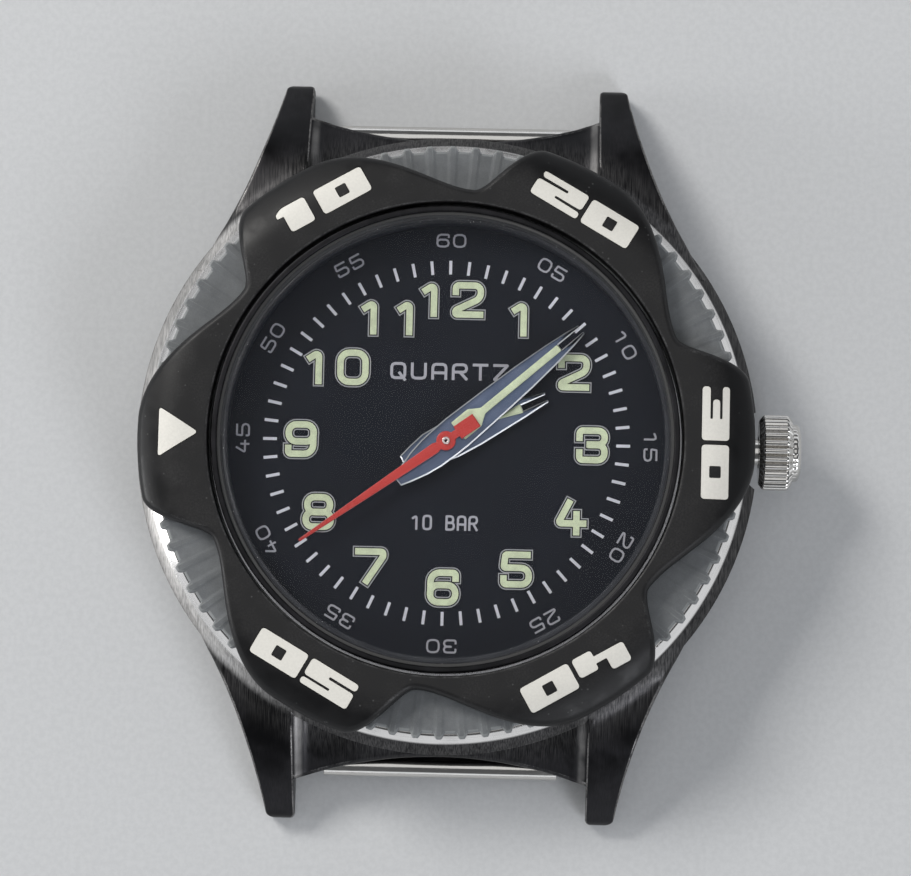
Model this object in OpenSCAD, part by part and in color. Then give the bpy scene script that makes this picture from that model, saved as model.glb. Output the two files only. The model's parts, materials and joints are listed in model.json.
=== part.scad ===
// Analogue sports watch head with a six-lobed turning bezel, a pull-out crown, a screwed-in
// back, four lugs with sprung strap bars and a quartz movement with its full gear train.
// Origin: centre of the case back's outer face. +Z leaves the dial, +Y is 12 o'clock,
// +X is 3 o'clock, where the crown is.

/* [Case] */
// Radius of the case at its widest
case_r = 21.2; // [21.1:0.1:21.4]
// Distance from the centre to the lug tips
lug_reach = 25.6; // [25.2:0.1:26.2]
// Clear width between the lugs, for the strap
strap_gap = 20; // [19.6:0.1:20]
// Height of the spring bars' axis
bar_z = 2.2; // [2.1:0.05:2.3]
// Distance from the centre to the spring bars' axis
bar_y = 21.9; // [21.8:0.05:22.1]

/* [Bezel] */
// Radius of the bezel at the top of a lobe
lobe_r = 20.9; // [20.7:0.1:21]
// Radius of the bezel at the bottom of a scallop
scallop_r = 17.0; // [16.9:0.05:17.2]
// Number of grip ridges round the turning ring
ridges = 80; // [60:20:80]
// Height of the bezel's highest edge
bezel_top_z = 10.3; // [10.2:0.05:10.4]

/* [Crown] */
// Radius of the crown over its flutes
crown_r = 2.58; // [2.4:0.02:2.6]
// Number of flutes round the crown
flutes = 27; // [20:1:30]
// How far the crown pulls out to set the hands
crown_travel = 0.9; // [0.5:0.1:0.9]

/* [Dial and hands] */
// Radius of the circle on which the single hour numerals stand
hour_ring_r = 9.9; // [9.7:0.05:10]
// Height of an hour numeral over its metal outline
hour_h = 2.75; // [2.5:0.05:2.8]
// Direction of the hour hand, clockwise from 12
hour_angle = 64.7; // [0:0.1:360]
// Direction of the minute hand, clockwise from 12
minute_angle = 49.0; // [0:0.1:360]
// Direction of the second hand, clockwise from 12
second_angle = 234.4; // [0:0.1:360]

/* [Hidden] */
$fn = 72;
eps = 0.01;

// Case heights and walls
case_foot_z = 0.9;
shoulder_z = 7.2;
neck_r = 15.8;
seat_r = 15.42;
bore_r = 15.15;
rim_z = 10.05;
crystal_seat_z = 8.5;
thread_r = 15.9;
thread_top_z = 2.5;
foot_r = 19.2;
wide_z = 5.8;
gasket_r0 = 16.15;
gasket_r1 = 16.85;
gasket_z = 1.5;
chamfer_r = 19.9;
tube_r = 1.0;

// Lugs: the flank is a concave arc and the top falls as a convex arc
flank_arc_r = 36;
flank_arc_x = 47.3;
flank_arc_y = 32.05;
root_cut_angle = 19.45;
root_x = 17.4;
root_y = 7;
lug_top_arc_r = 21.2;
lug_top_arc_y = 10.84;
lug_top_arc_z = -13.7;
lug_foot_z = 0.45;
tip_round = 0.9;
hood_mid_y = 21.1;
hood_sag = 1.6;
hood_under_z = 3.1;
hood_drop = 0.3;
bar_hole_r = 0.5;
bar_hole_x = 11.3;

// Bezel: one lobe for each ten minutes and one click for each minute
lobes = 6;
clicks = 60;
bezel_bore_r = 15.95;
ring_foot_z = 7.3;
ring_top_z = 8.6;
wire_z0 = 7.78;
wire_z1 = 8.12;
wire_gap = 0.1;
click_z = 7.55;
inlay_z = 9.6;
inlay_h = 0.62;

// Dial and its printing
dial_r = 15.0;
dial_z = 7.0;
dial_under_z = 6.6;
print_h = 0.03;
lume_w = 0.44;
frame_in = 0.6;
frame_out = 0.74;
thin = 0.03;

// Movement levels
plate_r = 11.2;
plate_z0 = 5.0;
recess_z = 5.7;
bridge_z0 = 3.0;
bridge_z1 = 3.4;
pivot_r = 0.08;
jewel_r = 0.11;
arbor_r = 0.15;

// Teeth of each wheel (_t) and pinion (_p), from the rotor to the hour wheel
rotor_t = 8;
fifth_t = 40;
fifth_p = 10;
seconds_t = 60;
train_p = 8;
third_t = 60;
centre_t = 64;
cannon_t = 12;
minute_t = 36;
minute_p = 10;
hour_t = 40;

// Gear modules; the wheels that share an axis share a centre distance
rotor_m = 0.09;
fifth_m = 0.085;
third_m = 0.1;
third_d = (train_p + third_t) * third_m / 2;
centre_m = 2 * third_d / (train_p + centre_t);
cannon_m = 0.14;
minute_d = (cannon_t + minute_t) * cannon_m / 2;
hour_m = 2 * minute_d / (minute_p + hour_t);
fifth_d = (fifth_p + seconds_t) * fifth_m / 2;
rotor_d = (rotor_t + fifth_t) * rotor_m / 2;

// Directions from the centre, or from the wheel before
third_dir = 30;
fifth_dir = 210;
rotor_dir = 240;
function polar(r, a) = [r * cos(a), r * sin(a)];
third_c = polar(third_d, third_dir);
fifth_c = polar(fifth_d, fifth_dir);
rotor_c = fifth_c + polar(rotor_d, rotor_dir);
minute_c = [minute_d, 0];
battery_c = [-5.2, 5.6];
battery_r = 3.4;
screw_c = [[7.6, 4.6], [-8.2, -0.8], [2.4, -5.9]];

// Keyless work
stem_z = 4.9;
groove_x = 8.6;
lever_arm = 2.0;
lever_c = [groove_x + crown_travel / 2, -lever_arm];
lever_half_swing = asin(crown_travel / 2 / lever_arm);

/* ---- Helpers ---- */

function unit(v) = v / norm(v);
function turn(v) = [-v[1], v[0]];
function reversed(p) = [for (i = [len(p) - 1:-1:0]) p[i]];
function smooth(t) = let (u = min(1, max(0, t))) u * u * (3 - 2 * u);

// A corner a-b-c of radius r as n + 1 points on its arc
function corner(a, b, c, r, n) =
  let (u = unit(a - b), v = unit(c - b), bend = u * v)
  bend < -0.999 ? [b] :
  let (half = acos(bend) / 2,
       d = min(r / tan(half), 0.46 * norm(a - b), 0.46 * norm(c - b)),
       mid = b + unit(u + v) * d / cos(half),
       p = b + u * d - mid, q = b + v * d - mid,
       a0 = atan2(p[1], p[0]), a1 = atan2(q[1], q[0]),
       sweep = (a1 - a0 + 540) % 360 - 180)
  [for (i = [0:n]) mid + norm(p) * [cos(a0 + sweep * i / n), sin(a0 + sweep * i / n)]];

function flat(q) = [q[0], q[1]];

// A path through the points of p, whose third number, if any, scales the corner's radius r
function rounded(p, r, n, closed) =
  let (k = len(p))
  [for (i = [0:k - 1])
    for (q = (!closed && (i == 0 || i == k - 1)) ? [flat(p[i])]
             : corner(flat(p[(i + k - 1) % k]), flat(p[i]), flat(p[(i + 1) % k]),
                      r * (len(p[i]) > 2 ? p[i][2] : 1), n)) q];

// The path p moved sideways by w, with mitred corners
function side(p, w, closed) =
  let (k = len(p))
  [for (i = [0:k - 1])
    let (before = (i == 0 && !closed) ? p[1] - p[0] : p[i] - p[(i + k - 1) % k],
         after = (i == k - 1 && !closed) ? p[i] - p[i - 1] : p[(i + 1) % k] - p[i],
         u = unit(before), v = unit(after), t = unit(u + v))
    p[i] + turn(t) * w / (t * u)];

module stroke(p, w, closed) {
  if (closed)
    difference() {
      polygon(side(p, -w / 2, true));
      polygon(side(p, w / 2, true));
    }
  else
    polygon(concat(side(p, w / 2, false), reversed(side(p, -w / 2, false))));
}

// Strokes of each character on a square one unit wide and high: [closed, points]
function glyph(c) =
  c == "0" ? [[true, [[0, 0], [1, 0], [1, 1], [0, 1]]]] :
  c == "1" ? [[false, [[0.1, 0.8], [0.6, 1], [0.6, 0]]]] :
  c == "2" ? [[false, [[0, 0.76], [0, 1], [1, 1], [1, 0.56], [0, 0.14], [0, 0], [1, 0]]]] :
  c == "3" ? [[false, [[0, 0.74], [0, 1], [1, 1], [1, 0.53], [0.4, 0.53]]],
              [false, [[0.45, 0.51], [1, 0.51], [1, 0], [0, 0], [0, 0.26]]]] :
  c == "4" ? [[false, [[0.42, 1], [0, 0.3, 0.2], [1, 0.3]]], [false, [[0.72, 0.62], [0.72, 0]]]] :
  c == "5" ? [[false, [[0.94, 1], [0.06, 1, 0.2], [0, 0.56, 0.2], [1, 0.56], [1, 0], [0, 0],
                       [0, 0.2]]]] :
  c == "6" ? [[true, [[0, 0], [1, 0], [1, 0.58], [0, 0.58]]],
              [false, [[0.01, 0.3], [0.01, 1], [1, 1], [1, 0.8]]]] :
  c == "7" ? [[false, [[0, 1], [1, 1, 0.3], [1, 0.84, 0.4], [0.36, 0]]]] :
  c == "8" ? [[true, [[0, 0], [1, 0], [1, 0.5], [0, 0.5]]],
              [true, [[0.05, 0.49], [0.95, 0.49], [0.95, 1], [0.05, 1]]]] :
  c == "9" ? [[true, [[0, 0.42], [1, 0.42], [1, 1], [0, 1]]],
              [false, [[0.99, 0.7], [0.99, 0], [0, 0], [0, 0.2]]]] :
  c == "Q" ? [[true, [[0, 0], [1, 0], [1, 1], [0, 1]]], [false, [[0.6, 0.35], [1, -0.12]]]] :
  c == "U" ? [[false, [[0, 1], [0, 0], [1, 0], [1, 1]]]] :
  c == "A" ? [[false, [[0, 0], [0, 1], [1, 1], [1, 0]]], [false, [[0, 0.4], [1, 0.4]]]] :
  c == "R" ? [[false, [[0, 0], [0, 1], [1, 1], [1, 0.48], [0, 0.48]]],
              [false, [[0.5, 0.48], [1, 0]]]] :
  c == "T" ? [[false, [[0, 1], [1, 1]]], [false, [[0.5, 1], [0.5, 0]]]] :
  c == "Z" ? [[false, [[0, 1], [1, 1, 0.1], [0, 0, 0.1], [1, 0]]]] :
  c == "B" ? [[true, [[0, 0, 0.1], [1, 0], [1, 0.52], [0, 0.52, 0.1]]],
              [true, [[0.01, 0.5, 0.1], [0.9, 0.5], [0.9, 1], [0.01, 1, 0.1]]]] : [];

// One character in a box a wide and b high, centred; line is the stroke's width
module character(c, a, b, r, line, n = 4) {
  offset(delta = (line - thin) / 2)
    for (s = glyph(c))
      stroke(rounded([for (q = s[1]) [(q[0] - 0.5) * a, (q[1] - 0.5) * b,
                                    len(q) > 2 ? q[2] : 1]], r, n, s[0]),
             thin, s[0]);
}

// A line of characters, pitch apart
module word(text_in, pitch, a, b, r, line, n = 4) {
  for (i = [0:len(text_in) - 1])
    translate([(i - (len(text_in) - 1) / 2) * pitch, 0]) character(text_in[i], a, b, r, line, n);
}

// A gear outline: n teeth of module m, the first on the direction phase
function gear_points(n, m, phase) =
  let (r = n * m / 2, p = 360 / n)
  [for (i = [0:n - 1])
    for (q = [[r - 1.25 * m, -0.27], [r + 0.8 * m, -0.1], [r + 0.8 * m, 0.1],
              [r - 1.25 * m, 0.27]])
      polar(q[0], phase + (i + q[1]) * p)];

// Phase of a gear b, in the direction dir from a gear a, that puts its tooth in a's gap
function mesh(a_teeth, a_phase, dir, b_teeth) =
  dir + 180 - (0.5 - (dir - a_phase) * a_teeth / 360) * 360 / b_teeth;

module gear(n, m, phase, z0, z1) {
  translate([0, 0, z0]) linear_extrude(z1 - z0) polygon(gear_points(n, m, phase));
}

module tube(r_out, r_in, z0, z1) {
  difference() {
    translate([0, 0, z0]) cylinder(r = r_out, h = z1 - z0);
    translate([0, 0, z0 - 1]) cylinder(r = r_in, h = z1 - z0 + 2);
  }
}

module rod(r, z0, z1) { translate([0, 0, z0]) cylinder(r = r, h = z1 - z0); }
module along_x(x, z) { translate([x, 0, z]) rotate([0, 90, 0]) children(); }
module at(c) { translate([c[0], c[1], 0]) children(); }
module plate(z0, z1) { translate([0, 0, z0]) linear_extrude(z1 - z0) children(); }
module both_ends() { for (s = [0, 180]) rotate([0, 0, s]) children(); }

// Phases of the train at rest
seconds_phase = 0;
fifth_pinion_phase = mesh(seconds_t, seconds_phase, fifth_dir, fifth_p);
rotor_phase = mesh(fifth_t, fifth_pinion_phase, rotor_dir, rotor_t);
third_phase = mesh(train_p, seconds_phase, third_dir, third_t);
centre_phase = mesh(train_p, third_phase, third_dir + 180, centre_t);
minute_phase = mesh(cannon_t, centre_phase, 0, minute_t);
hour_phase = mesh(minute_p, minute_phase, 180, hour_t);

/* ---- Case ---- */

module case_body() {
  rotate_extrude()
    polygon(concat(
      [[thread_r, case_foot_z], [foot_r, case_foot_z]],
      [for (i = [0:8]) [foot_r + (case_r - foot_r) * sin(i * 11.25),
                        case_foot_z + (wide_z - case_foot_z) * (1 - cos(i * 11.25))]],
      [[case_r - 0.2, 6.35], [case_r - 0.75, 6.75], [chamfer_r, shoulder_z],
       [neck_r, shoulder_z], [neck_r, rim_z], [seat_r, rim_z], [seat_r, crystal_seat_z],
       [bore_r, crystal_seat_z], [bore_r, thread_top_z], [thread_r, thread_top_z]]));
}

// The outline of a pair of lugs or the hood between them, at the 12 o'clock end
module lug_block(half_w, y0, y1, drop) {
  intersection() {
    translate([-half_w, y0, 0]) cube([2 * half_w, y1 - y0, 9]);
    rotate([90, 0, 90]) translate([0, 0, -half_w])
      linear_extrude(2 * half_w) intersection() {
        translate([lug_top_arc_y, lug_top_arc_z - drop]) circle(r = lug_top_arc_r, $fn = 128);
        translate([y0, 0]) square([y1 - y0, 9]);
      }
  }
}

// A slanted cut that lets the flank of a lug run into the case's narrower foot
module root_cut() {
  slope = (case_r - foot_r) / (wide_z - case_foot_z);
  rotate([0, 0, root_cut_angle]) translate([0, 30, 0]) rotate([90, 0, 0]) linear_extrude(60)
    polygon([[foot_r - slope * case_foot_z, 0], [case_r, wide_z], [32, wide_z], [32, 0]]);
}

// The space under the case's shoulder, which the lugs' roots stay inside
module shoulder_limit() {
  rotate_extrude()
    polygon([[0, 0], [31, 0], [31, 4.4], [case_r + 0.3, 5.9], [case_r - 0.2, 6.35],
             [case_r - 0.75, 6.75], [chamfer_r, shoulder_z - eps], [0, shoulder_z - eps]]);
}

module lugs() {
  difference() {
    intersection() {
      lug_block(root_x, root_y, lug_reach, 0);
      shoulder_limit();
    }
    translate([-18, 10, -1]) cube([36, 20, lug_foot_z + 1]);
    translate([-18, 5, -1]) cube([36, 7, case_foot_z + 1]);
    translate([-strap_gap / 2, 5, -1]) cube([strap_gap, 27, 12]);
    for (s = [-1, 1]) translate([s * flank_arc_x, flank_arc_y, -1])
      cylinder(r = flank_arc_r, h = 12, $fn = 160);
    for (s = [0, 1]) mirror([s, 0, 0]) root_cut();
    for (s = [-1, 1]) translate([s * 12.1, lug_reach, -1]) rotate([0, 0, 45])
      cube([tip_round, tip_round, 20], center = true);
    for (s = [-1, 1]) translate([s * bar_hole_x, bar_y, bar_z]) rotate([0, -90 * s, 0])
      cylinder(r = bar_hole_r, h = 3);
    translate([0, 0, -1]) cylinder(r = chamfer_r - 1, h = 12);
  }
}

module hood() {
  hood_arc_r = (pow(strap_gap / 2, 2) + pow(hood_sag, 2)) / (2 * hood_sag);
  difference() {
    lug_block(strap_gap / 2, 12, 23.5, hood_drop);
    translate([0, hood_mid_y + hood_arc_r, -1]) cylinder(r = hood_arc_r, h = 12, $fn = 160);
    translate([-11, 10, -1]) cube([22, 20, hood_under_z + 1]);
    translate([0, 0, -1]) cylinder(r = chamfer_r - 1, h = 12);
  }
}

module case_middle() {
  color("#34343a") difference() {
    union() {
      case_body();
      both_ends() lugs();
      both_ends() hood();
    }
    tube(gasket_r1, gasket_r0, 0, gasket_z);
    tube(neck_r + 1, neck_r - 0.3, wire_z0 - 0.06, wire_z1 + 0.06);
    tube(17.7, 16.5, 6.88, 8);
    along_x(14, stem_z) cylinder(r = tube_r, h = 8);
    along_x(20.5, stem_z) cylinder(r = crown_r + 0.2, h = 4);
  }
}

module case_back() {
  notches = 6;
  color("#8f9296") difference() {
    union() {
      rod(17.3, 0.25, case_foot_z);
      rotate_extrude() polygon([[0, 0], [16.9, 0], [17.3, 0.25], [17.3, 0.3], [0, 0.3]]);
      rod(thread_r - 0.04, case_foot_z, 2.35);
    }
    rod(14.4, 1.1, 3);
    for (i = [0:notches - 1]) rotate([0, 0, i * 360 / notches])
      translate([15.9, -1.1, -1]) cube([3, 2.2, 1.5]);
    tube(14.6, 14.3, -1, 0.12);
  }
}

module case_back_gasket() {
  color("#1c1c1e") tube(gasket_r1 - 0.05, gasket_r0 + 0.05, case_foot_z + 0.01, gasket_z - 0.02);
}

module crown_tube() {
  color("#a9aaad") along_x(15.2, stem_z) difference() {
    union() {
      cylinder(r = tube_r - 0.005, h = 5.3);
      translate([0, 0, 5.2]) cylinder(r = tube_r - 0.1, h = 2.3);
    }
    translate([0, 0, -1]) cylinder(r = 0.6, h = 10);
  }
}

module crystal() {
  color("#cfd8dd", 0.3) translate([0, 0, crystal_seat_z + 0.1]) rotate_extrude()
    polygon([[0, 0], [15.2, 0], [15.2, 1.2], [14.85, 1.5], [0, 1.5]]);
}

module crystal_gasket() {
  color("#e4e4df") rotate_extrude()
    polygon([[15.22, 8.52], [seat_r - 0.01, 8.52], [seat_r - 0.01, 9.75], [15.22, 9.75]]);
}

module dial_flange_ring() {
  color("#17181b") tube(bore_r - 0.03, 14.88, dial_z + eps, crystal_seat_z + 0.08);
}

/* ---- Dial ---- */

module dial() {
  color("#1c1f27") difference() {
    union() {
      rod(dial_r, dial_under_z, dial_z);
      for (s = [-1, 1]) rotate([0, 0, 45 * s]) translate([s * 10.2, 0, 0]) rod(0.35, 5.7, 6.7);
    }
    rod(0.9, 6, 8);
  }
}

module minute_track() {
  color("#e8e8e4") plate(dial_z, dial_z + print_h)
    for (i = [0:59]) rotate(i * 6) translate([-0.1, 11.55]) square([0.2, 0.94]);
}

module minute_numerals() {
  labels = ["60", "05", "10", "15", "20", "25", "30", "35", "40", "45", "50", "55"];
  color("#a9adab") plate(dial_z, dial_z + print_h)
    for (i = [0:11]) rotate(-30 * i) translate([0, 13.88])
      word(labels[i], 1.14, 0.78, 0.82, 0.25, 0.13, 2);
}

module dial_text() {
  slot = 0.78;
  color("#c9ccd2") plate(dial_z, dial_z + print_h) {
    translate([0.1, 4.85]) word("QUARTZ", 1.4, 0.9, 0.98, 0.22, 0.19, 2);
    translate([-2 * slot, -5.5]) word("10", slot, 0.5, 0.9, 0.17, 0.15, 2);
    translate([1.5 * slot, -5.5]) word("BAR", slot, 0.5, 0.9, 0.17, 0.15, 2);
  }
}

// Where the hour numerals stand: the two-figure ones sit nearer the centre
function hour_place(h) =
  h == 10 ? [-7.6, 5.0] : h == 11 ? [-3.95, 8.5] : h == 12 ? [0.15, 9.8]
  : hour_ring_r * [sin(30 * h), cos(30 * h)];

module hour_numerals(line) {
  b = hour_h - frame_out;
  a = 2.45 - frame_out;
  one_shift = 1.0;
  for (h = [1:12]) translate(hour_place(h)) {
    units = str(h % 10);
    translate([h > 9 ? one_shift + 0.1 : 0, 0])
      character(units, units == "1" ? a * 0.7 : a, b, 0.62, line, 5);
    if (h > 9) translate([-one_shift - 0.35, 0]) character("1", a * 0.7, b, 0.62, line, 5);
  }
}

module hour_numeral_frames() {
  color("#b9bcc4") plate(dial_z, dial_z + 0.1) difference() {
    hour_numerals(frame_out);
    hour_numerals(frame_in);
  }
}

module hour_numeral_lume() {
  color("#cddcb4") plate(dial_z, dial_z + 0.12) hour_numerals(lume_w);
}

/* ---- Movement ---- */

module movement_holder() {
  color("#e6e4dc") difference() {
    tube(14.95, plate_r + 0.05, 2.6, dial_under_z - 0.02);
    along_x(10, stem_z) cylinder(r = 0.9, h = 6);
    tube(13.2, 12.2, 2, 4.2);
  }
}

module main_plate() {
  color("#c9b27a") difference() {
    union() {
      rod(plate_r, plate_z0, dial_under_z - 0.02);
      for (x = [6.7, 10.0]) translate([x, -1.2, 4.1]) cube([1.1, 2.4, 1]);
      for (c = screw_c) at(c) rod(0.75, bridge_z1, plate_z0 + 0.1);
      at(lever_c) rod(0.25, 3.75, plate_z0 + 0.1);
    }
    difference() {
      union() {
        rod(2.98, recess_z, 8);
        at(minute_c) rod(2.85, recess_z, 8);
      }
      at(minute_c) rod(0.25, 5, 6.45);
    }
    rod(0.9, 4.5, 6);
    translate([3.9, -1.0, 4]) cube([2.5, 2.0, 1.75]);
    along_x(3.5, stem_z) cylinder(r = 0.4, h = 8);
    translate([7.7, -0.8, 4]) cube([2.4, 1.6, 1.4]);
    for (c = [third_c, fifth_c, rotor_c]) at(c) rod(jewel_r, 4.5, 5.4);
    for (s = [-1, 1]) rotate([0, 0, 45 * s]) translate([s * 10.2, 0, 0]) rod(0.37, 5.6, 7);
    for (c = screw_c) at(c) rod(0.36, 3, 5.05);
  }
}

module centre_bush() { color("#b08d4a") tube(0.9, 0.42, plate_z0, recess_z); }

module train_bridge() {
  color("#b9bbc0") difference() {
    plate(bridge_z0, bridge_z1) difference() {
      union() {
        circle(r = 5.4);
        for (c = screw_c) rotate(atan2(c[1], c[0])) translate([0, -1]) square([norm(c), 2]);
        for (c = screw_c) translate(c) circle(r = 1);
        translate(rotor_c) circle(r = 1.2);
      }
      translate(battery_c) circle(r = battery_r + 0.15);
      for (c = screw_c) translate(c) circle(r = 0.38);
    }
    for (c = [[0, 0], third_c, fifth_c, rotor_c]) at(c) rod(jewel_r, 2, 4);
  }
}

module bridge_screws() {
  color("#8b8e95") for (c = screw_c) at(c) difference() {
    union() {
      rod(0.65, 2.7, bridge_z0);
      rod(0.35, 2.9, 4.95);
    }
    translate([-1, -0.1, 2.6]) cube([2, 0.2, 0.25]);
  }
}

module circuit_board() {
  color("#2f6b46") plate(2.75, 2.95) difference() {
    intersection() {
      circle(r = 10.8);
      translate([-9, -11]) square([18, 4.6]);
    }
    translate(screw_c[2]) circle(r = 1.1);
  }
}

module drive_chip() { color("#15161a") translate([5.2, -8.4, 2.96]) cube([1.6, 1.6, 0.4]); }
module quartz_can() { color("#b8bbc0") translate([-3, -9.85, 3.52]) rotate([0, 90, 0])
  cylinder(r = 0.55, h = 6); }

module battery() {
  color("#c3c5c9") at(battery_c) {
    rod(battery_r, 2.75, plate_z0 - 0.02);
    rod(battery_r - 0.5, 2.4, 2.76);
  }
}

module battery_clamp() {
  color("#9fa2a8") plate(2.2, 2.38) difference() {
    union() {
      translate(battery_c) circle(r = 1.6);
      translate(battery_c) rotate(135) translate([0, -0.5]) square([3.6, 1]);
      translate(battery_c) rotate(-60) translate([0, -0.5]) square([4.4, 1]);
    }
    translate(battery_c) circle(r = 0.8);
  }
}

module coil_core() {
  color("#7c7f86") translate([-6.9, -8.35, 3.91]) cube([12, 0.9, 0.35]);
}

module coil_winding() {
  color("#b4622d") difference() {
    translate([-5, -7.9, 4.085]) rotate([0, 90, 0]) cylinder(r = 0.85, h = 8.2);
    translate([-6.95, -8.36, 3.9]) cube([12.1, 0.92, 0.37]);
  }
}

module stator() {
  color("#83868c") plate(3.55, 3.9) difference() {
    union() {
      translate([-6.9, -8.5]) square([1.5, 6.0]);
      translate([-6.9, -4.9]) square([4.6, 2.5]);
      translate([-2.4, -4.9]) square([7.5, 1.2]);
      translate([3.6, -8.5]) square([1.5, 4.8]);
    }
    translate(rotor_c) circle(r = 1.1);
    translate(screw_c[2]) circle(r = 0.8);
  }
}

module yoke() {
  color("#93969c") plate(4.12, 4.3) {
    translate([5.1, -3.9]) square([0.3, 3.6]);
    translate([5.1, -4.4]) square([3.6, 0.6]);
    translate([8.4, -4.1]) circle(r = 0.6);
  }
}

module setting_lever() {
  color("#9a9da3") at(lever_c) rotate([0, 0, lever_half_swing]) {
    plate(3.85, 4.05) difference() {
      union() {
        circle(r = 0.55);
        translate([-0.3, 0]) square([0.6, lever_arm]);
        translate([0, lever_arm]) circle(r = 0.35);
        rotate(-50) translate([-0.25, -1.6]) square([0.5, 1.6]);
      }
      circle(r = 0.28);
    }
    translate([0, lever_arm, 0]) rod(0.2, 4.0, 4.66);
  }
}

/* ---- Bezel ---- */

// Height of the bezel's top surface against the radius: a low cone that rolls off at the lobes
dome = [[0, bezel_top_z], [17.9, bezel_top_z - 0.1], [18.9, bezel_top_z - 0.25],
        [19.8, bezel_top_z - 0.55], [20.5, bezel_top_z - 0.95], [21.1, bezel_top_z - 1.4],
        [21.1, ring_top_z], [0, ring_top_z]];

// Outline radius at a clockwise angle from a lobe's numeral: a steep rise, then a long fall
function lobe_outline(a) =
  scallop_r + (lobe_r - scallop_r)
    * (a < -12 ? smooth((a + 25) / 13) : a > 3 ? 1 - smooth((a - 3) / 32) : 1);

module lobed_outline() {
  polygon([for (k = [0:lobes - 1])
    for (a = [-24:2:34]) polar(lobe_outline(a), 90 - (k * 360 / lobes + 30 + a))]);
}

// A block numeral drawn by slits cut from a plain block
module block_figure(c, w, h) {
  slit = 0.1 * h;
  difference() {
    if (c == "1") translate([-w * 0.25, -h / 2]) square([w * 0.5, h]);
    else translate([-w / 2, -h / 2]) square([w, h]);
    if (c == "0") square([0.22 * w, 0.42 * h], center = true);
    if (c == "2" || c == "3") translate([-w / 2 - 1, h * 0.17]) square([1 + w * 0.62, slit]);
    if (c == "2" || c == "5") translate([c == "2" ? -w * 0.05 : -w * 0.5 - 1, -h * 0.24])
      square([c == "2" ? w : 1 + w * 0.55, slit]);
    if (c == "3") translate([-w / 2 - 1, -h * 0.22]) square([1 + w * 0.62, slit]);
    if (c == "3") translate([-w / 2 - 1, -h * 0.2]) square([1 + w * 0.22, h * 0.4]);
    if (c == "5") translate([-w * 0.05, h * 0.15]) square([w, slit]);
    if (c == "4") translate([-w * 0.1, h * 0.05]) square([w * 0.2, h]);
    if (c == "4") translate([w * 0.09, h * 0.22]) square([w, h]);
    if (c == "4") translate([-w / 2 - 1, -h / 2 - 1]) square([1 + w * 0.58, 1 + h * 0.22]);
  }
  if (c == "1") translate([-w * 0.38, h * 0.2]) square([w * 0.2, h * 0.3]);
}

// The five two-figure marks, with their tops outward
module bezel_figures() {
  for (k = [1:5]) rotate(-(270 + 60 * k)) translate([0, 18.15]) {
    translate([k == 1 ? -1.6 : -2.0, 0]) block_figure(str(k), 3.65, 1.85);
    translate([1.95, 0]) block_figure("0", 3.65, 1.85);
  }
}

module bezel_arrow() {
  rotate(-270) translate([0, 18.0]) polygon([[-1.7, 1.35], [1.7, 1.35], [0, -1.35]]);
}

module bezel_ring() {
  steps = 4;
  grip = [for (i = [0:ridges * steps - 1])
    polar(19.95 + 0.25 * cos(i * 360 / steps), i * 360 / (ridges * steps))];
  color("#6f7672") difference() {
    plate(ring_foot_z, ring_top_z) polygon(grip);
    rod(bezel_bore_r, 7, 9);
    tube(16.3, 15, wire_z0 - wire_gap, wire_z1 + wire_gap);
    plate(7, click_z)
      polygon([for (i = [0:clicks - 1])
        for (q = [[16.6, -0.4], [17.45, -0.25], [17.45, 0.25], [16.6, 0.4]])
          polar(q[0], 90 + (i + q[1]) * 360 / clicks)]);
  }
}

module bezel_top() {
  color("#1b1b1e") difference() {
    intersection() {
      rotate_extrude() polygon(dome);
      plate(ring_top_z, 11) lobed_outline();
    }
    rod(16.05, 8, 12);
    plate(inlay_z, 12) bezel_figures();
    plate(inlay_z, 12) bezel_arrow();
  }
}

module bezel_inlay() {
  color("#e8e6dc") intersection() {
    plate(inlay_z, 12) children();
    translate([0, 0, -0.04]) rotate_extrude() polygon(dome);
  }
}

module bezel_numerals() { bezel_inlay() bezel_figures(); }
module bezel_marker() { bezel_inlay() bezel_arrow(); }

module bezel_click_spring() {
  color("#b9bcc0") {
    tube(17.5, 16.6, 6.9, 7.02);
    for (i = [0:2]) rotate([0, 0, 90 + 120 * i])
      translate([16.75, -0.25, 7.0]) cube([0.6, 0.5, 0.45]);
  }
}

module bezel_retaining_wire() {
  color("#b9bcc0") difference() {
    tube(16.15, neck_r - 0.25, wire_z0, wire_z1);
    rotate([0, 0, 100]) translate([14, -0.6, 7]) cube([4, 1.2, 2]);
  }
}

/* ---- Spring bars ---- */

module bar_tube() {
  color("#b9bbbe") translate([0, bar_y, bar_z]) rotate([0, 90, 0]) difference() {
    translate([0, 0, -8]) cylinder(r = 0.75, h = 16);
    translate([0, 0, -7.7]) cylinder(r = 0.56, h = 15.4);
    translate([0, 0, -9]) cylinder(r = 0.48, h = 18);
  }
}

module bar_tip(s) {
  color("#c6c8cb") translate([0, bar_y, bar_z]) rotate([0, 90 * s, 0]) {
    translate([0, 0, 6.5]) cylinder(r = 0.52, h = 0.5);
    translate([0, 0, 6.9]) cylinder(r = 0.44, h = 4.3);
    translate([0, 0, 9.5]) cylinder(r = 0.7, h = 0.3);
  }
}

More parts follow.
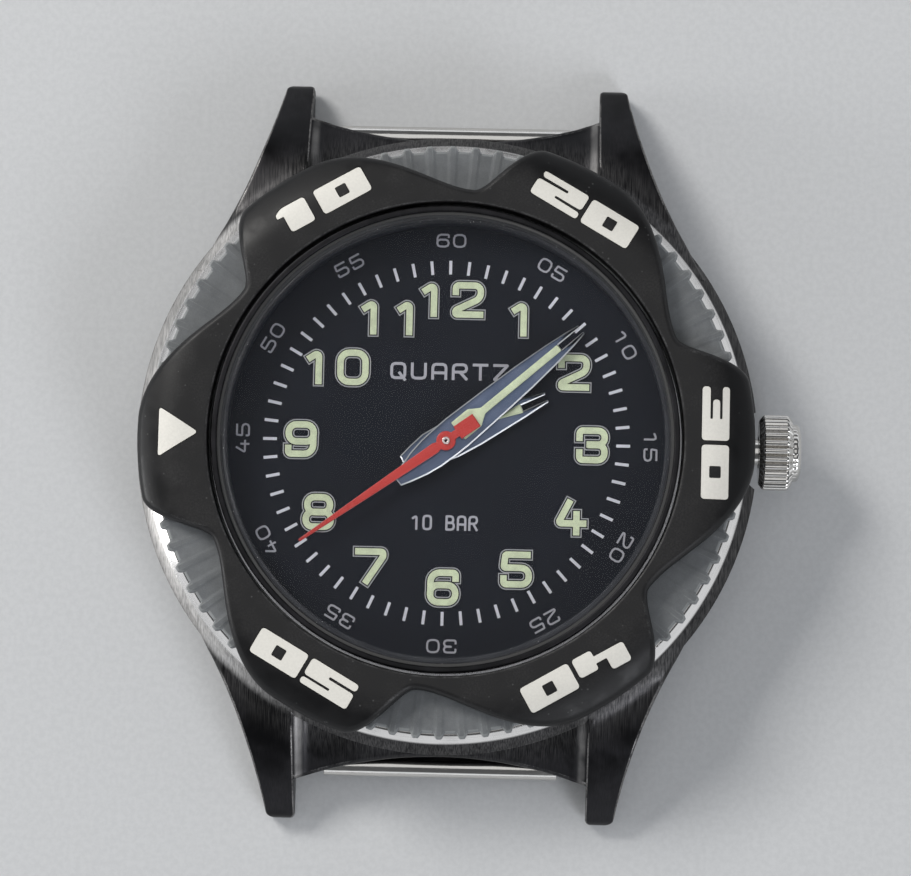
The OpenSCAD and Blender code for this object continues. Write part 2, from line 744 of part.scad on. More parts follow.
// A coil of n turns of wire as one closed surface
module coil_spring(n, r, wire_r, length) {
  rings = n * 10;
  facets = 5;
  points = [for (i = [0:rings]) for (k = [0:facets - 1])
    let (a = i * 36, b = k * 360 / facets, q = r + wire_r * cos(b))
    [q * cos(a), q * sin(a), length * (i / rings - 0.5) + wire_r * sin(b)]];
  sides = [for (i = [0:rings - 1]) for (k = [0:facets - 1])
    let (l = (k + 1) % facets)
    [i * facets + k, i * facets + l, (i + 1) * facets + l, (i + 1) * facets + k]];
  ends = [[for (k = [facets - 1:-1:0]) k], [for (k = [0:facets - 1]) rings * facets + k]];
  polyhedron(points = points, faces = [for (f = concat(sides, ends)) reversed(f)]);
}

module bar_spring() {
  color("#8f9298") translate([0, bar_y, bar_z]) rotate([0, 90, 0]) coil_spring(13, 0.42, 0.1, 12.7);
}

module spring_bar_tube_12() { bar_tube(); }
module spring_bar_tube_6() { rotate([0, 0, 180]) bar_tube(); }
module bar_spring_12() { bar_spring(); }
module bar_spring_6() { rotate([0, 0, 180]) bar_spring(); }
module bar_tip_12_right() { bar_tip(1); }
module bar_tip_12_left() { bar_tip(-1); }
module bar_tip_6_right() { rotate([0, 0, 180]) bar_tip(-1); }
module bar_tip_6_left() { rotate([0, 0, 180]) bar_tip(1); }

/* ---- Crown ---- */

module crown() {
  steps = 4;
  grip = [for (i = [0:flutes * steps - 1])
    polar(crown_r - 0.13 + 0.13 * cos(i * 360 / steps), i * 360 / (flutes * steps))];
  color("#b7b8bb") along_x(0, stem_z) difference() {
    union() {
      translate([0, 0, 21.3]) intersection() {
        linear_extrude(2.3) polygon(grip);
        rotate_extrude() polygon([[0, 0], [crown_r - 0.4, 0], [crown_r + 0.05, 0.35],
                                  [crown_r + 0.05, 1.95], [crown_r - 0.4, 2.3], [0, 2.3]]);
      }
      rotate_extrude() polygon([[0, 23.5], [1.95, 23.5], [1.95, 23.9], [1.7, 24.1], [0, 24.15]]);
    }
    translate([0, 0, 20]) cylinder(r = 1.1, h = 3.0);
    translate([0, 0, 21.9]) cylinder(r = 1.35, h = 0.6);
    translate([0, 0, 22.9]) cylinder(r = 0.35, h = 0.5);
  }
}

module crown_gasket() {
  color("#1c1c1e") along_x(21.95, stem_z) difference() {
    cylinder(r = 1.34, h = 0.5);
    translate([0, 0, -1]) cylinder(r = 0.96, h = 3);
  }
}

module winding_stem() {
  color("#a6a9ae") along_x(0, stem_z) difference() {
    translate([0, 0, 4.0]) cylinder(r = 0.35, h = 19.38);
    tube(0.6, 0.2, groove_x - 0.3, groove_x + 0.3);
  }
}

module sliding_pinion() {
  color("#9b9ea4") along_x(4.35, stem_z) difference() {
    union() {
      linear_extrude(0.6) polygon(gear_points(14, 0.1, 0));
      cylinder(r = 0.55, h = 1.7);
      translate([0, 0, 1.2]) cylinder(r = 0.78, h = 0.5);
    }
    translate([0, 0, -1]) cylinder(r = 0.38, h = 4);
  }
}

/* ---- Hands ---- */

// A hand's outline: stations are [distance from the axis, half width]
module hand_outline(stations) {
  polygon(concat([for (s = stations) [s[1], s[0]]],
                 [for (s = reversed(stations)) [-s[1], s[0]]]));
}

minute_stations = [[-4.28, 0.39], [-3.53, 0.64], [-2.4, 0.95], [-1.29, 1.13], [0, 1.2],
                   [1.02, 1.22], [4.2, 1.09], [6.86, 0.95], [9.4, 0.73], [11.0, 0.53],
                   [11.95, 0.36]];
hour_stations = [[-3.26, 0.39], [-2.4, 0.75], [-1.29, 1.13], [0, 1.27], [0.34, 1.29],
                 [2.2, 1.14], [3.87, 0.91], [5.6, 0.67], [6.9, 0.45], [7.47, 0.36]];
second_stations = [[-2.51, 0.51], [-0.95, 0.51], [-0.95, 0.27], [0.5, 0.41], [6.1, 0.26],
                   [12.03, 0.1]];

module hand(stations, notch_s, z0, z1, bore) {
  plate(z0, z1) difference() {
    hand_outline(stations);
    circle(r = bore);
    translate([-0.2, notch_s]) square([0.4, 5]);
  }
}

module minute_lume_shape() {
  hand_outline([[1.05, 0.75], [2.5, 0.75], [3.25, 0.25], [10.0, 0.25]]);
}

module hour_lume_shape() {
  hand_outline([[1.35, 0.7], [1.9, 0.7], [2.6, 0.05], [3.9, 0.05], [5.6, 0.34]]);
}

module second_hand() {
  color("#cf3a36") rotate([0, 0, -second_angle]) plate(7.98, 8.08) difference() {
    union() {
      hand_outline(second_stations);
      circle(r = 0.65);
    }
    circle(r = 0.2);
  }
}

module minute_hand() {
  color("#4a5b78") rotate([0, 0, -minute_angle]) difference() {
    hand(minute_stations, 10.05, 7.63, 7.78, 0.36);
    plate(7.7, 8) minute_lume_shape();
  }
}

module minute_hand_lume() {
  color("#d5dfc0") rotate([0, 0, -minute_angle]) plate(7.7, 7.8) minute_lume_shape();
}

module hour_hand() {
  color("#4a5b78") rotate([0, 0, -hour_angle]) difference() {
    hand(hour_stations, 5.64, 7.3, 7.45, 0.62);
    plate(7.37, 8) hour_lume_shape();
  }
}

module hour_hand_lume() {
  color("#d5dfc0") rotate([0, 0, -hour_angle]) plate(7.37, 7.47) hour_lume_shape();
}

/* ---- Gear train ---- */

module seconds_wheel() {
  color("#c8a95a") {
    difference() {
      gear(seconds_t, fifth_m, seconds_phase, 3.5, 3.65);
      for (i = [0:2]) rotate([0, 0, 120 * i]) translate([1.4, 0, 0]) rod(0.5, 3, 4);
    }
    gear(train_p, third_m, seconds_phase, 3.64, 4.25);
    rod(pivot_r, 3.1, 3.6);
    rod(0.2, 3.45, 4.3);
    rod(0.16, 4.2, 7.95);
    rod(0.195, 7.9, 8.14);
  }
}

module third_wheel() {
  color("#c8a95a") at(third_c) {
    gear(third_t, third_m, third_phase, 3.85, 4.0);
    gear(train_p, centre_m, third_phase, 3.99, 4.8);
    rod(arbor_r, 3.42, 4.95);
    rod(pivot_r, 3.1, 5.3);
  }
}

module centre_wheel() {
  color("#c8a95a") difference() {
    union() {
      gear(centre_t, centre_m, centre_phase, 4.5, 4.65);
      rod(0.7, 4.64, 4.95);
      rod(0.38, 4.6, 5.9);
      gear(cannon_t, cannon_m, centre_phase, 5.85, 6.15);
      rod(0.35, 6.1, 7.85);
    }
    rod(0.2, 4, 8);
    for (i = [0:3]) rotate([0, 0, 90 * i]) translate([1.75, 0, 0]) rod(0.6, 4, 4.7);
  }
}

module minute_wheel() {
  color("#c8a95a") at(minute_c) difference() {
    union() {
      gear(minute_t, cannon_m, minute_phase, 5.93, 6.08);
      gear(minute_p, hour_m, minute_phase, 6.07, 6.5);
    }
    rod(0.28, 5, 7);
  }
}

module hour_wheel() {
  color("#c8a95a") difference() {
    union() {
      gear(hour_t, hour_m, hour_phase, 6.28, 6.48);
      rod(0.61, 6.3, 7.5);
    }
    rod(0.4, 6, 8);
  }
}

module fifth_wheel() {
  color("#c8a95a") at(fifth_c) {
    gear(fifth_p, fifth_m, fifth_pinion_phase, 3.47, 3.7);
    gear(fifth_t, rotor_m, fifth_pinion_phase, 4.1, 4.25);
    rod(arbor_r, 3.42, 4.95);
    rod(pivot_r, 3.1, 5.3);
  }
}

module rotor_magnet() { color("#5d6066") at(rotor_c) tube(0.85, 0.16, 3.5, 3.92); }

module rotor_pinion() {
  color("#d8d6cf") at(rotor_c) {
    gear(rotor_t, rotor_m, rotor_phase, 3.93, 4.4);
    rod(0.155, 3.42, 4.95);
    rod(pivot_r, 3.1, 5.3);
  }
}

/* ---- Nodes ---- */

case_middle();
case_back();
case_back_gasket();
crown_tube();
crystal();
crystal_gasket();
dial_flange_ring();
dial();
minute_track();
minute_numerals();
dial_text();
hour_numeral_frames();
hour_numeral_lume();
movement_holder();
main_plate();
centre_bush();
train_bridge();
bridge_screws();
circuit_board();
drive_chip();
quartz_can();
battery();
battery_clamp();
coil_core();
coil_winding();
stator();
yoke();
bezel_click_spring();
bezel_retaining_wire();
spring_bar_tube_12();
spring_bar_tube_6();
bar_spring_12();
bar_spring_6();
bar_tip_12_right();
bar_tip_12_left();
bar_tip_6_right();
bar_tip_6_left();
bezel_ring();
bezel_top();
bezel_numerals();
bezel_marker();
sliding_pinion();
winding_stem();
crown();
crown_gasket();
setting_lever();
second_hand();
seconds_wheel();
minute_hand();
minute_hand_lume();
centre_wheel();
hour_hand();
hour_hand_lume();
hour_wheel();
minute_wheel();
third_wheel();
fifth_wheel();
rotor_magnet();
rotor_pinion();
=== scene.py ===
# %% [markdown]
# # A sports watch head in Blender
# The watch's working parts come from a CAD model, so their sizes and places are already right.
# This lesson dresses that model: it swaps the parts that show for finer surfaces, gives every
# part a real finish, and lights and frames the result. All lengths are metres, as in the CAD.

# %% Load the working parts
import json
import math

import bpy
import numpy as np
from mathutils import Matrix, Vector
from mathutils.geometry import tessellate_polygon


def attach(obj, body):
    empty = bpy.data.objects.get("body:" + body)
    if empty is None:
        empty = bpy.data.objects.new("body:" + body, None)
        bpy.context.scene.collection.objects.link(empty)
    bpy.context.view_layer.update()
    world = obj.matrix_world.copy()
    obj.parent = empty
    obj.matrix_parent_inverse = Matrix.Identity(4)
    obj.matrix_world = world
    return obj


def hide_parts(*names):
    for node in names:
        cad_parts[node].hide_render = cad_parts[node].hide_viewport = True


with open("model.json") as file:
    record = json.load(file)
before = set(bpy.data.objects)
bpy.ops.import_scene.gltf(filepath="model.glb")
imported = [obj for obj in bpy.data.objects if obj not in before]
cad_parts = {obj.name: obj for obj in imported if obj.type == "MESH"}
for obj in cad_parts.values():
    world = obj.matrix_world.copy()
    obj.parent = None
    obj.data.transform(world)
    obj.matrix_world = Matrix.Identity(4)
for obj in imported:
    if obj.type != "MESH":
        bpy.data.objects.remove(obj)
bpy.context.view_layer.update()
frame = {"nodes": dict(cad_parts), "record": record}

MM = 0.001


# %% [markdown]
# ## The camera
# The watch is seen from almost straight above, a little from the 6 o'clock side, from 26
# centimetres away with a long lens. The camera is placed by its elevation and its direction round
# the watch, and turned by a small roll. It comes first, because every later choice of detail
# depends on how large a millimetre looks.

# %% Set the camera
FACE_HEIGHT = 8 * MM
VIEW_ELEVATION = math.radians(83.5)
VIEW_SIDEWAYS = math.radians(15)
VIEW_ROLL = math.radians(1.4)
VIEW_DISTANCE = 260 * MM
LENS = 151.6
AIM = Vector((0.64, 0.2, 8)) * MM

toward_camera = Vector((math.cos(VIEW_ELEVATION) * math.sin(VIEW_SIDEWAYS),
                        -math.cos(VIEW_ELEVATION) * math.cos(VIEW_SIDEWAYS),
                        math.sin(VIEW_ELEVATION)))
camera = bpy.data.objects.new("camera", bpy.data.cameras.new("camera"))
bpy.context.scene.collection.objects.link(camera)
camera.data.lens = LENS
camera.data.sensor_width = 36
camera.data.sensor_fit = "HORIZONTAL"
camera.data.clip_start = 0.01
camera.location = Vector((0, 0, FACE_HEIGHT)) + toward_camera * VIEW_DISTANCE
backward = (camera.location - AIM).normalized()
up = Vector((-math.sin(VIEW_ROLL), math.cos(VIEW_ROLL), 0))
right = up.cross(backward).normalized()
up = backward.cross(right)
camera.rotation_euler = Matrix((right, up, backward)).transposed().to_euler()
bpy.context.scene.camera = camera
print("camera at", [round(x, 4) for x in camera.location])


# %% [markdown]
# ## Surfaces from arrays
# Nearly every part of a watch is turned on a lathe, milled along a path or punched from sheet.
# So four small tools do most of the work. A grid of points becomes a skin of four-sided faces. A
# profile spun about the Z axis becomes a turned part. A flat outline raised to a height becomes a
# punched part with eased edges. And a last step turns the skin so that it faces outwards, by
# working out its volume: a skin that is inside out has a volume below zero.

# %% Skins, turned parts and punched parts
def grid_faces(rows, columns, wrap_rows=False, wrap_columns=False, first=0):
    """Four-sided faces between neighbours in a rows x columns grid of points."""
    r = np.arange(rows if wrap_rows else rows - 1)[:, None]
    c = np.arange(columns if wrap_columns else columns - 1)[None, :]
    r1, c1 = (r + 1) % rows, (c + 1) % columns
    quads = np.stack(np.broadcast_arrays(r * columns + c, r1 * columns + c,
                                         r1 * columns + c1, r * columns + c1), axis=-1)
    return (quads.reshape(-1, 4) + first).tolist()


def volume(points, faces):
    """Signed volume: the sum over triangles a, b, c of a . (b x c) / 6."""
    triangles = np.array([(f[0], f[i], f[i + 1]) for f in faces for i in range(1, len(f) - 1)])
    a, b, c = (points[triangles[:, i]] for i in range(3))
    return float(np.einsum("ij,ij->i", a, np.cross(b, c)).sum() / 6)


def join_skins(*skins):
    """Several (points, faces) skins as one."""
    points, faces = [], []
    for p, f in skins:
        start = sum(len(q) for q in points)
        faces += [[i + start for i in face] for face in f]
        points.append(np.asarray(p, float).reshape(-1, 3))
    return np.concatenate(points), faces


def outward(skin):
    """The skin with its faces turned outwards."""
    points, faces = skin
    points = np.asarray(points, float).reshape(-1, 3)
    return points, faces if volume(points, faces) > 0 else [f[::-1] for f in faces]


def piece(name, skin, smooth_angle=35):
    """A new object made from a skin in millimetres, smooth except across sharp edges."""
    points, faces = skin
    mesh = bpy.data.meshes.new(name)
    mesh.from_pydata((np.asarray(points) * MM).tolist(), [], faces)
    mesh.validate()
    made = bpy.data.objects.new(name, mesh)
    bpy.context.scene.collection.objects.link(made)
    smooth(made, smooth_angle)
    return made


def smooth(made, angle=35):
    """Shades the object smooth, with edges sharper than the angle kept crisp."""
    made.data.shade_smooth()
    made.data.set_sharp_from_angle(angle=math.radians(angle))


def turned(profile, steps=256):
    """A lathe-turned skin. Point (r, z) of the profile becomes the circle (r cos a, r sin a, z).
    A profile that starts and ends on the axis is closed there by fans of triangles."""
    profile = np.asarray(profile, float)
    on_axis = profile[0, 0] == 0 and profile[-1, 0] == 0
    rings = profile[1:-1] if on_axis else profile
    a = np.arange(steps) * 2 * np.pi / steps
    r, z = rings[:, :1], rings[:, 1:]
    points = np.stack(np.broadcast_arrays(r * np.cos(a), r * np.sin(a), z), axis=-1).reshape(-1, 3)
    faces = grid_faces(len(rings), steps, not on_axis, True)
    if on_axis:
        ends = [[0, 0, profile[0, 1]], [0, 0, profile[-1, 1]]]
        first, last, n = len(points), len(points) + 1, len(rings)
        faces += [[first, i, (i + 1) % steps] for i in range(steps)]
        start = (n - 1) * steps
        faces += [[last, start + (i + 1) % steps, start + i] for i in range(steps)]
        points = np.concatenate([points, ends])
    return outward((points, faces))


def rounded(corners, radius, steps=6, closed=True):
    """An outline with its corners rounded. Each corner is (x, y) or (x, y, scale of the radius).
    The arc is the quadratic curve (1-t)^2 A + 2t(1-t) P + t^2 B, with A and B on the corner's
    two sides and P the corner itself."""
    count = len(corners)
    t = np.linspace(0, 1, steps + 1)[:, None]
    out = []
    for i, corner in enumerate(corners):
        here = np.array(corner[:2], float)
        if not closed and i in (0, count - 1):
            out.append(here[None, :])
            continue
        before = np.array(corners[i - 1][:2], float) - here
        after = np.array(corners[(i + 1) % count][:2], float) - here
        lengths = np.linalg.norm(before), np.linalg.norm(after)
        reach = min(radius * (corner[2] if len(corner) > 2 else 1), 0.49 * min(lengths))
        start, end = here + before / lengths[0] * reach, here + after / lengths[1] * reach
        if reach == 0:
            out.append(here[None, :])
        else:
            out.append((1 - t) ** 2 * start + 2 * t * (1 - t) * here + t ** 2 * end)
    return np.concatenate(out)


def inset(outline, distance):
    """The closed outline moved to its left by a distance, with mitred corners."""
    ahead = np.roll(outline, -1, axis=0) - outline
    ahead /= np.linalg.norm(ahead, axis=1, keepdims=True)
    behind = np.roll(ahead, 1, axis=0)
    way = ahead + behind
    way /= np.linalg.norm(way, axis=1, keepdims=True)
    left = np.stack([-way[:, 1], way[:, 0]], axis=-1)
    return outline + left * distance / np.einsum("ij,ij->i", way, ahead)[:, None]


def signed_area(outline):
    """Area of the outline, above zero if it runs anticlockwise: half the sum of x1 y2 - y1 x2."""
    x, y = outline[:, 0], outline[:, 1]
    return float((x * np.roll(y, -1) - y * np.roll(x, -1)).sum() / 2)


def punched(outlines, z0, z1, ease=0.0, steps=3, ease_width=None):
    """A flat part from z0 to z1. The first outline is its edge and the others are holes. The top
    edge is eased by a quarter round: at angle t it is inset by w(1 - cos t) and raised by
    e sin t, so the walls run smoothly into the top."""
    loops = [outlines[0] if signed_area(outlines[0]) > 0 else outlines[0][::-1]]
    loops += [hole if signed_area(hole) < 0 else hole[::-1] for hole in outlines[1:]]
    width = ease if ease_width is None else ease_width
    levels = [(0, z0)] + [(width * (1 - math.cos(t)), z1 - ease + ease * math.sin(t))
                          for t in np.linspace(0, math.pi / 2, steps + 1 if ease else 1)]
    skins = []
    for loop in loops:
        rings = [np.column_stack([inset(loop, d), np.full(len(loop), z)]) for d, z in levels]
        walls = grid_faces(len(levels), len(loop), False, True)
        skins.append((np.concatenate(rings), [f[::-1] for f in walls]))
    for level, side in ((0, -1), (len(levels) - 1, 1)):
        d, z = levels[level]
        flat = [inset(loop, d) for loop in loops]
        triangles = tessellate_polygon([[Vector((x, y, 0)) for x, y in loop] for loop in flat])
        cap = np.concatenate([np.column_stack([loop, np.full(len(loop), z)]) for loop in flat])
        skins.append((cap, [list(f) if signed_area(cap[list(f)]) * side > 0 else list(f)[::-1]
                            for f in triangles]))
    return welded(join_skins(*skins))


def welded(skin):
    """The skin with points that share a place made one, and faces with no area dropped."""
    points, faces = skin
    keys, where = np.unique(np.round(points, 5), axis=0, return_inverse=True)
    where = where.reshape(-1)
    kept = []
    for face in faces:
        loop = [int(where[i]) for i in face]
        loop = [v for i, v in enumerate(loop) if v != loop[i - 1]]
        if len(set(loop)) > 2:
            kept.append(loop)
    return keys, kept


def placed(skin, turn_degrees=0.0, x=0.0, y=0.0, z=0.0):
    """The skin turned about Z, then moved."""
    points, faces = skin
    a = math.radians(turn_degrees)
    turn = np.array([[math.cos(a), -math.sin(a), 0], [math.sin(a), math.cos(a), 0], [0, 0, 1]])
    return np.asarray(points) @ turn.T + [x, y, z], faces


def along_x(skin, z):
    """A skin turned about Z laid down, so that its axis is the line y = 0 at height z."""
    points, faces = skin
    points = np.asarray(points)
    return np.column_stack([points[:, 2], points[:, 1], z - points[:, 0]]), faces


# %% [markdown]
# ## Cutting one skin with another
# Holes and pockets that cross a curved surface are cut with a boolean, as a mill would cut them.
# The result is taken from Blender's evaluated copy, so that no modifier stays on the part.

# %% Booleans
def combine(made, tool_skin, operation):
    """Cuts the object with a skin, or joins the skin to it."""
    tool = piece("tool", tool_skin)
    step = made.modifiers.new("step", "BOOLEAN")
    step.operation = operation
    step.solver = "EXACT"
    step.object = tool
    result = bpy.data.meshes.new_from_object(
        made.evaluated_get(bpy.context.evaluated_depsgraph_get()))
    made.modifiers.clear()
    made.data = result
    bpy.data.objects.remove(tool)
    return made


# %% [markdown]
# ## Marking edges for wear
# Paint and polish rub off where a surface bends outwards. The bend is measured once from the
# mesh and stored on its points, where any material can read it. For each edge it takes the angle
# between its two faces times its length, and shares that over the area around each end.

# %% Measure the bend
def mark_edges(made, full=1.6):
    """Stores "edge" on each point: 0 where flat or hollow, 1 where the mean curvature reaches
    full, in 1/mm. Mean curvature = sum of (angle x length) / (4 x area round the point)."""
    mesh = made.data
    count = len(mesh.loops)
    edge_of = np.empty(count, np.int32)
    mesh.loops.foreach_get("edge_index", edge_of)
    sizes = np.empty(len(mesh.polygons), np.int32)
    mesh.polygons.foreach_get("loop_total", sizes)
    face_of = np.repeat(np.arange(len(mesh.polygons)), sizes)
    normals, centres = np.empty((2, len(mesh.polygons), 3), np.float32)
    areas = np.empty(len(mesh.polygons), np.float32)
    mesh.polygons.foreach_get("normal", normals.reshape(-1))
    mesh.polygons.foreach_get("center", centres.reshape(-1))
    mesh.polygons.foreach_get("area", areas)
    order = np.argsort(edge_of, kind="stable")
    edges, faces = edge_of[order], face_of[order]
    pair = np.flatnonzero(edges[1:] == edges[:-1])
    edge, one, two = edges[pair], faces[pair], faces[pair + 1]
    ends = np.empty(len(mesh.edges) * 2, np.int32)
    mesh.edges.foreach_get("vertices", ends)
    ends = ends.reshape(-1, 2)[edge]
    places = np.empty(len(mesh.vertices) * 3, np.float32)
    mesh.vertices.foreach_get("co", places)
    places = places.reshape(-1, 3)
    length = np.linalg.norm(places[ends[:, 0]] - places[ends[:, 1]], axis=1)
    cosine = np.clip(np.einsum("ij,ij->i", normals[one], normals[two]), -1, 1)
    convex = np.sign(np.einsum("ij,ij->i", centres[one] - centres[two], normals[two]))
    bend = np.arccos(cosine) * length * -convex
    total, area = np.zeros(len(mesh.vertices)), np.zeros(len(mesh.vertices))
    np.add.at(total, ends.reshape(-1), np.repeat(bend, 2))
    corner = np.empty(count, np.int32)
    mesh.loops.foreach_get("vertex_index", corner)
    np.add.at(area, corner, (areas / np.maximum(sizes, 1))[face_of])
    curvature = total / np.maximum(4 * area, 1e-12) * MM
    mask = mesh.attributes.new("edge", "FLOAT", "POINT")
    mask.data.foreach_set("value", np.clip(curvature / full, 0, 1).astype(np.float32))


# %% [markdown]
# ## Nodes in one line
# A material is a small program made of nodes. Written out in full, each node takes four or five
# lines, and the idea gets lost. This helper adds a node, sets its options, and sets or links its
# inputs, so that a finish reads as a list of its ingredients.

# %% A short way to write nodes
def node(tree, kind, options=None, **inputs):
    """Adds a node. An input is a plain value, or another node's output to link. It is named, or
    i0, i1 and so on stand for its place in the node's list of inputs."""
    new = tree.nodes.new("ShaderNode" + kind)
    for name, value in (options or {}).items():
        setattr(new, name, value)
    for name, value in inputs.items():
        slot = new.inputs[int(name[1:])] if name[1:].isdigit() else new.inputs[name.replace("_", " ")]
        if isinstance(value, bpy.types.NodeSocket):
            tree.links.new(value, slot)
        else:
            slot.default_value = value
    return new


def calc(tree, operation, a, b=0.0, clamp=False):
    """One sum, product or power of two values."""
    return node(tree, "Math", {"operation": operation, "use_clamp": clamp}, i0=a, i1=b).outputs[0]


def mix_colour(tree, factor, a, b):
    """Colour a where the factor is 0, colour b where it is 1."""
    made = node(tree, "Mix", {"data_type": "RGBA"}, i0=factor, i6=a, i7=b)
    return made.outputs[2]


def ramp(tree, value, low, high, to_low=0.0, to_high=1.0):
    """The value carried from low..high to to_low..to_high, smoothly, and held at the ends."""
    return node(tree, "MapRange", {"interpolation_type": "SMOOTHSTEP"}, i0=value, i1=low, i2=high,
                i3=to_low, i4=to_high).outputs[0]


def noise(tree, place, scale, detail=3.0, roughness=0.55):
    return node(tree, "TexNoise", Vector=place, Scale=scale, Detail=detail,
                Roughness=roughness).outputs[0]


def place_in_mm(tree):
    """The point on the part, in millimetres, in the part's own frame."""
    place = node(tree, "TexCoord").outputs["Object"]
    return node(tree, "VectorMath", {"operation": "SCALE"}, i0=place, Scale=1 / MM).outputs[0]


def round_axis(tree):
    """The same point as x, y and z, with its distance from the Z axis."""
    x, y, z = node(tree, "SeparateXYZ", i0=place_in_mm(tree)).outputs
    squares = calc(tree, "ADD", calc(tree, "MULTIPLY", x, x), calc(tree, "MULTIPLY", y, y))
    return x, y, z, calc(tree, "SQRT", squares)


def new_group(name, inputs, outputs):
    """A node group with named inputs, (name, kind, value), and named outputs, (name, kind)."""
    tree = bpy.data.node_groups.new(name, "ShaderNodeTree")
    for label, kind, value in inputs:
        slot = tree.interface.new_socket(label, in_out="INPUT", socket_type="NodeSocket" + kind)
        slot.default_value = value
    for label, kind in outputs:
        tree.interface.new_socket(label, in_out="OUTPUT", socket_type="NodeSocket" + kind)
    return tree, tree.nodes.new("NodeGroupInput"), tree.nodes.new("NodeGroupOutput")


def use_group(tree, group, **inputs):
    """Places a node group in a tree, with its inputs set or linked by name."""
    made = tree.nodes.new("ShaderNodeGroup")
    made.node_tree = group
    for name, value in inputs.items():
        slot = made.inputs[name.replace("_", " ")]
        if isinstance(value, bpy.types.NodeSocket):
            tree.links.new(value, slot)
        else:
            slot.default_value = value
    return made.outputs


# %% [markdown]
# ## Effects that several finishes share
# Six effects come back on many parts, so each is a node group. Lathe lines run round the Z axis.
# Brush lines run along one direction. Grain is the fine tooth of paint, plastic or blasted metal.
# Wear is bare metal along edges, broken up by noise. Handling is the slow change in gloss that
# fingers leave. Specks are dust and tiny chips. Each puts out a tone, a mask or a height, and the
# material decides what to do with it.

# %% Lathe lines
def lathe_lines():
    """Noise over (radius x fineness, angle x 6, z x fineness): long thin arcs round the axis."""
    tree, given, gives = new_group("lathe lines", [("Fineness", "Float", 30.0)],
                                   [("Tone", "Float"), ("Height", "Float")])
    x, y, z, radius = round_axis(tree)
    angle = calc(tree, "ARCTAN2", y, x)
    fine = given.outputs["Fineness"]
    place = node(tree, "CombineXYZ", i0=calc(tree, "MULTIPLY", radius, fine),
                 i1=calc(tree, "MULTIPLY", angle, 6.0), i2=calc(tree, "MULTIPLY", z, fine)).outputs[0]
    lines = noise(tree, place, 1.0, 2.0)
    tree.links.new(lines, gives.inputs["Tone"])
    tree.links.new(lines, gives.inputs["Height"])
    return tree


def brush_lines():
    """Noise over the place times a stretch, which is small along the brushing."""
    tree, given, gives = new_group("brush lines", [("Stretch", "Vector", (30.0, 0.6, 30.0))],
                                   [("Tone", "Float"), ("Height", "Float")])
    place = node(tree, "VectorMath", {"operation": "MULTIPLY"}, i0=place_in_mm(tree),
                 i1=given.outputs["Stretch"]).outputs[0]
    lines = noise(tree, place, 1.0, 3.0, 0.6)
    tree.links.new(lines, gives.inputs["Tone"])
    tree.links.new(lines, gives.inputs["Height"])
    return tree


def fine_grain():
    """Two octaves of even noise, Size millimetres across."""
    tree, given, gives = new_group("fine grain", [("Size", "Float", 0.1)],
                                   [("Tone", "Float"), ("Height", "Float")])
    per_mm = calc(tree, "DIVIDE", 1.0, given.outputs["Size"])
    grain = noise(tree, place_in_mm(tree), per_mm, 2.0, 0.6)
    tree.links.new(ramp(tree, grain, 0.3, 0.7), gives.inputs["Tone"])
    tree.links.new(grain, gives.inputs["Height"])
    return tree


def edge_wear():
    """The stored bend of the surface, raised by Amount and broken up by noise."""
    tree, given, gives = new_group("edge wear", [("Amount", "Float", 0.5), ("Patch", "Float", 0.6)],
                                   [("Mask", "Float")])
    edge = node(tree, "Attribute", {"attribute_name": "edge"}).outputs["Fac"]
    place = place_in_mm(tree)
    patches = noise(tree, place, calc(tree, "DIVIDE", 1.0, given.outputs["Patch"]), 4.0, 0.7)
    fine = noise(tree, place, 9.0, 3.0, 0.7)
    chance = calc(tree, "MULTIPLY", calc(tree, "ADD", patches, fine), given.outputs["Amount"])
    worn = calc(tree, "MULTIPLY", edge, chance)
    tree.links.new(ramp(tree, worn, 0.34, 0.62), gives.inputs["Mask"])
    return tree


def handling():
    """Slow, soft noise a few millimetres across, for uneven gloss and faint smudges."""
    tree, given, gives = new_group("handling", [("Size", "Float", 5.0)], [("Tone", "Float")])
    per_mm = calc(tree, "DIVIDE", 1.0, given.outputs["Size"])
    place = place_in_mm(tree)
    slow = noise(tree, place, per_mm, 3.0, 0.6)
    tree.links.new(ramp(tree, slow, 0.3, 0.7), gives.inputs["Tone"])
    return tree


def specks():
    """Sparse bright dots and nicks: dust, lint and tiny chips."""
    tree, given, gives = new_group("specks", [("Size", "Float", 0.4), ("Amount", "Float", 0.5)],
                                   [("Mask", "Float")])
    per_mm = calc(tree, "DIVIDE", 1.0, given.outputs["Size"])
    place = place_in_mm(tree)
    dots = node(tree, "TexVoronoi", {"feature": "F1"}, Vector=place, Scale=per_mm,
                Randomness=1.0).outputs["Distance"]
    where = noise(tree, place, calc(tree, "MULTIPLY", per_mm, 0.21), 2.0)
    near = ramp(tree, dots, 0.05, 0.16, 1.0, 0.0)
    some = ramp(tree, where, 0.5, 0.62)
    mask = calc(tree, "MULTIPLY", calc(tree, "MULTIPLY", near, some), given.outputs["Amount"])
    tree.links.new(mask, gives.inputs["Mask"])
    return tree


LATHE, BRUSH, GRAIN = lathe_lines(), brush_lines(), fine_grain()
WEAR, HANDLING, SPECKS = edge_wear(), handling(), specks()
print("made", len(bpy.data.node_groups), "effects")


# %% [markdown]
# ## Finishes
# The record names one material slot for each finish on the watch. Plain metals share one recipe,
# and so do paints, inks and plastics, each with its own colour, gloss and grain. The coated case,
# the bezel, the grip ring, the glass, the luminous paint, the lacquered hands and the eyelet each
# have a recipe of their own.

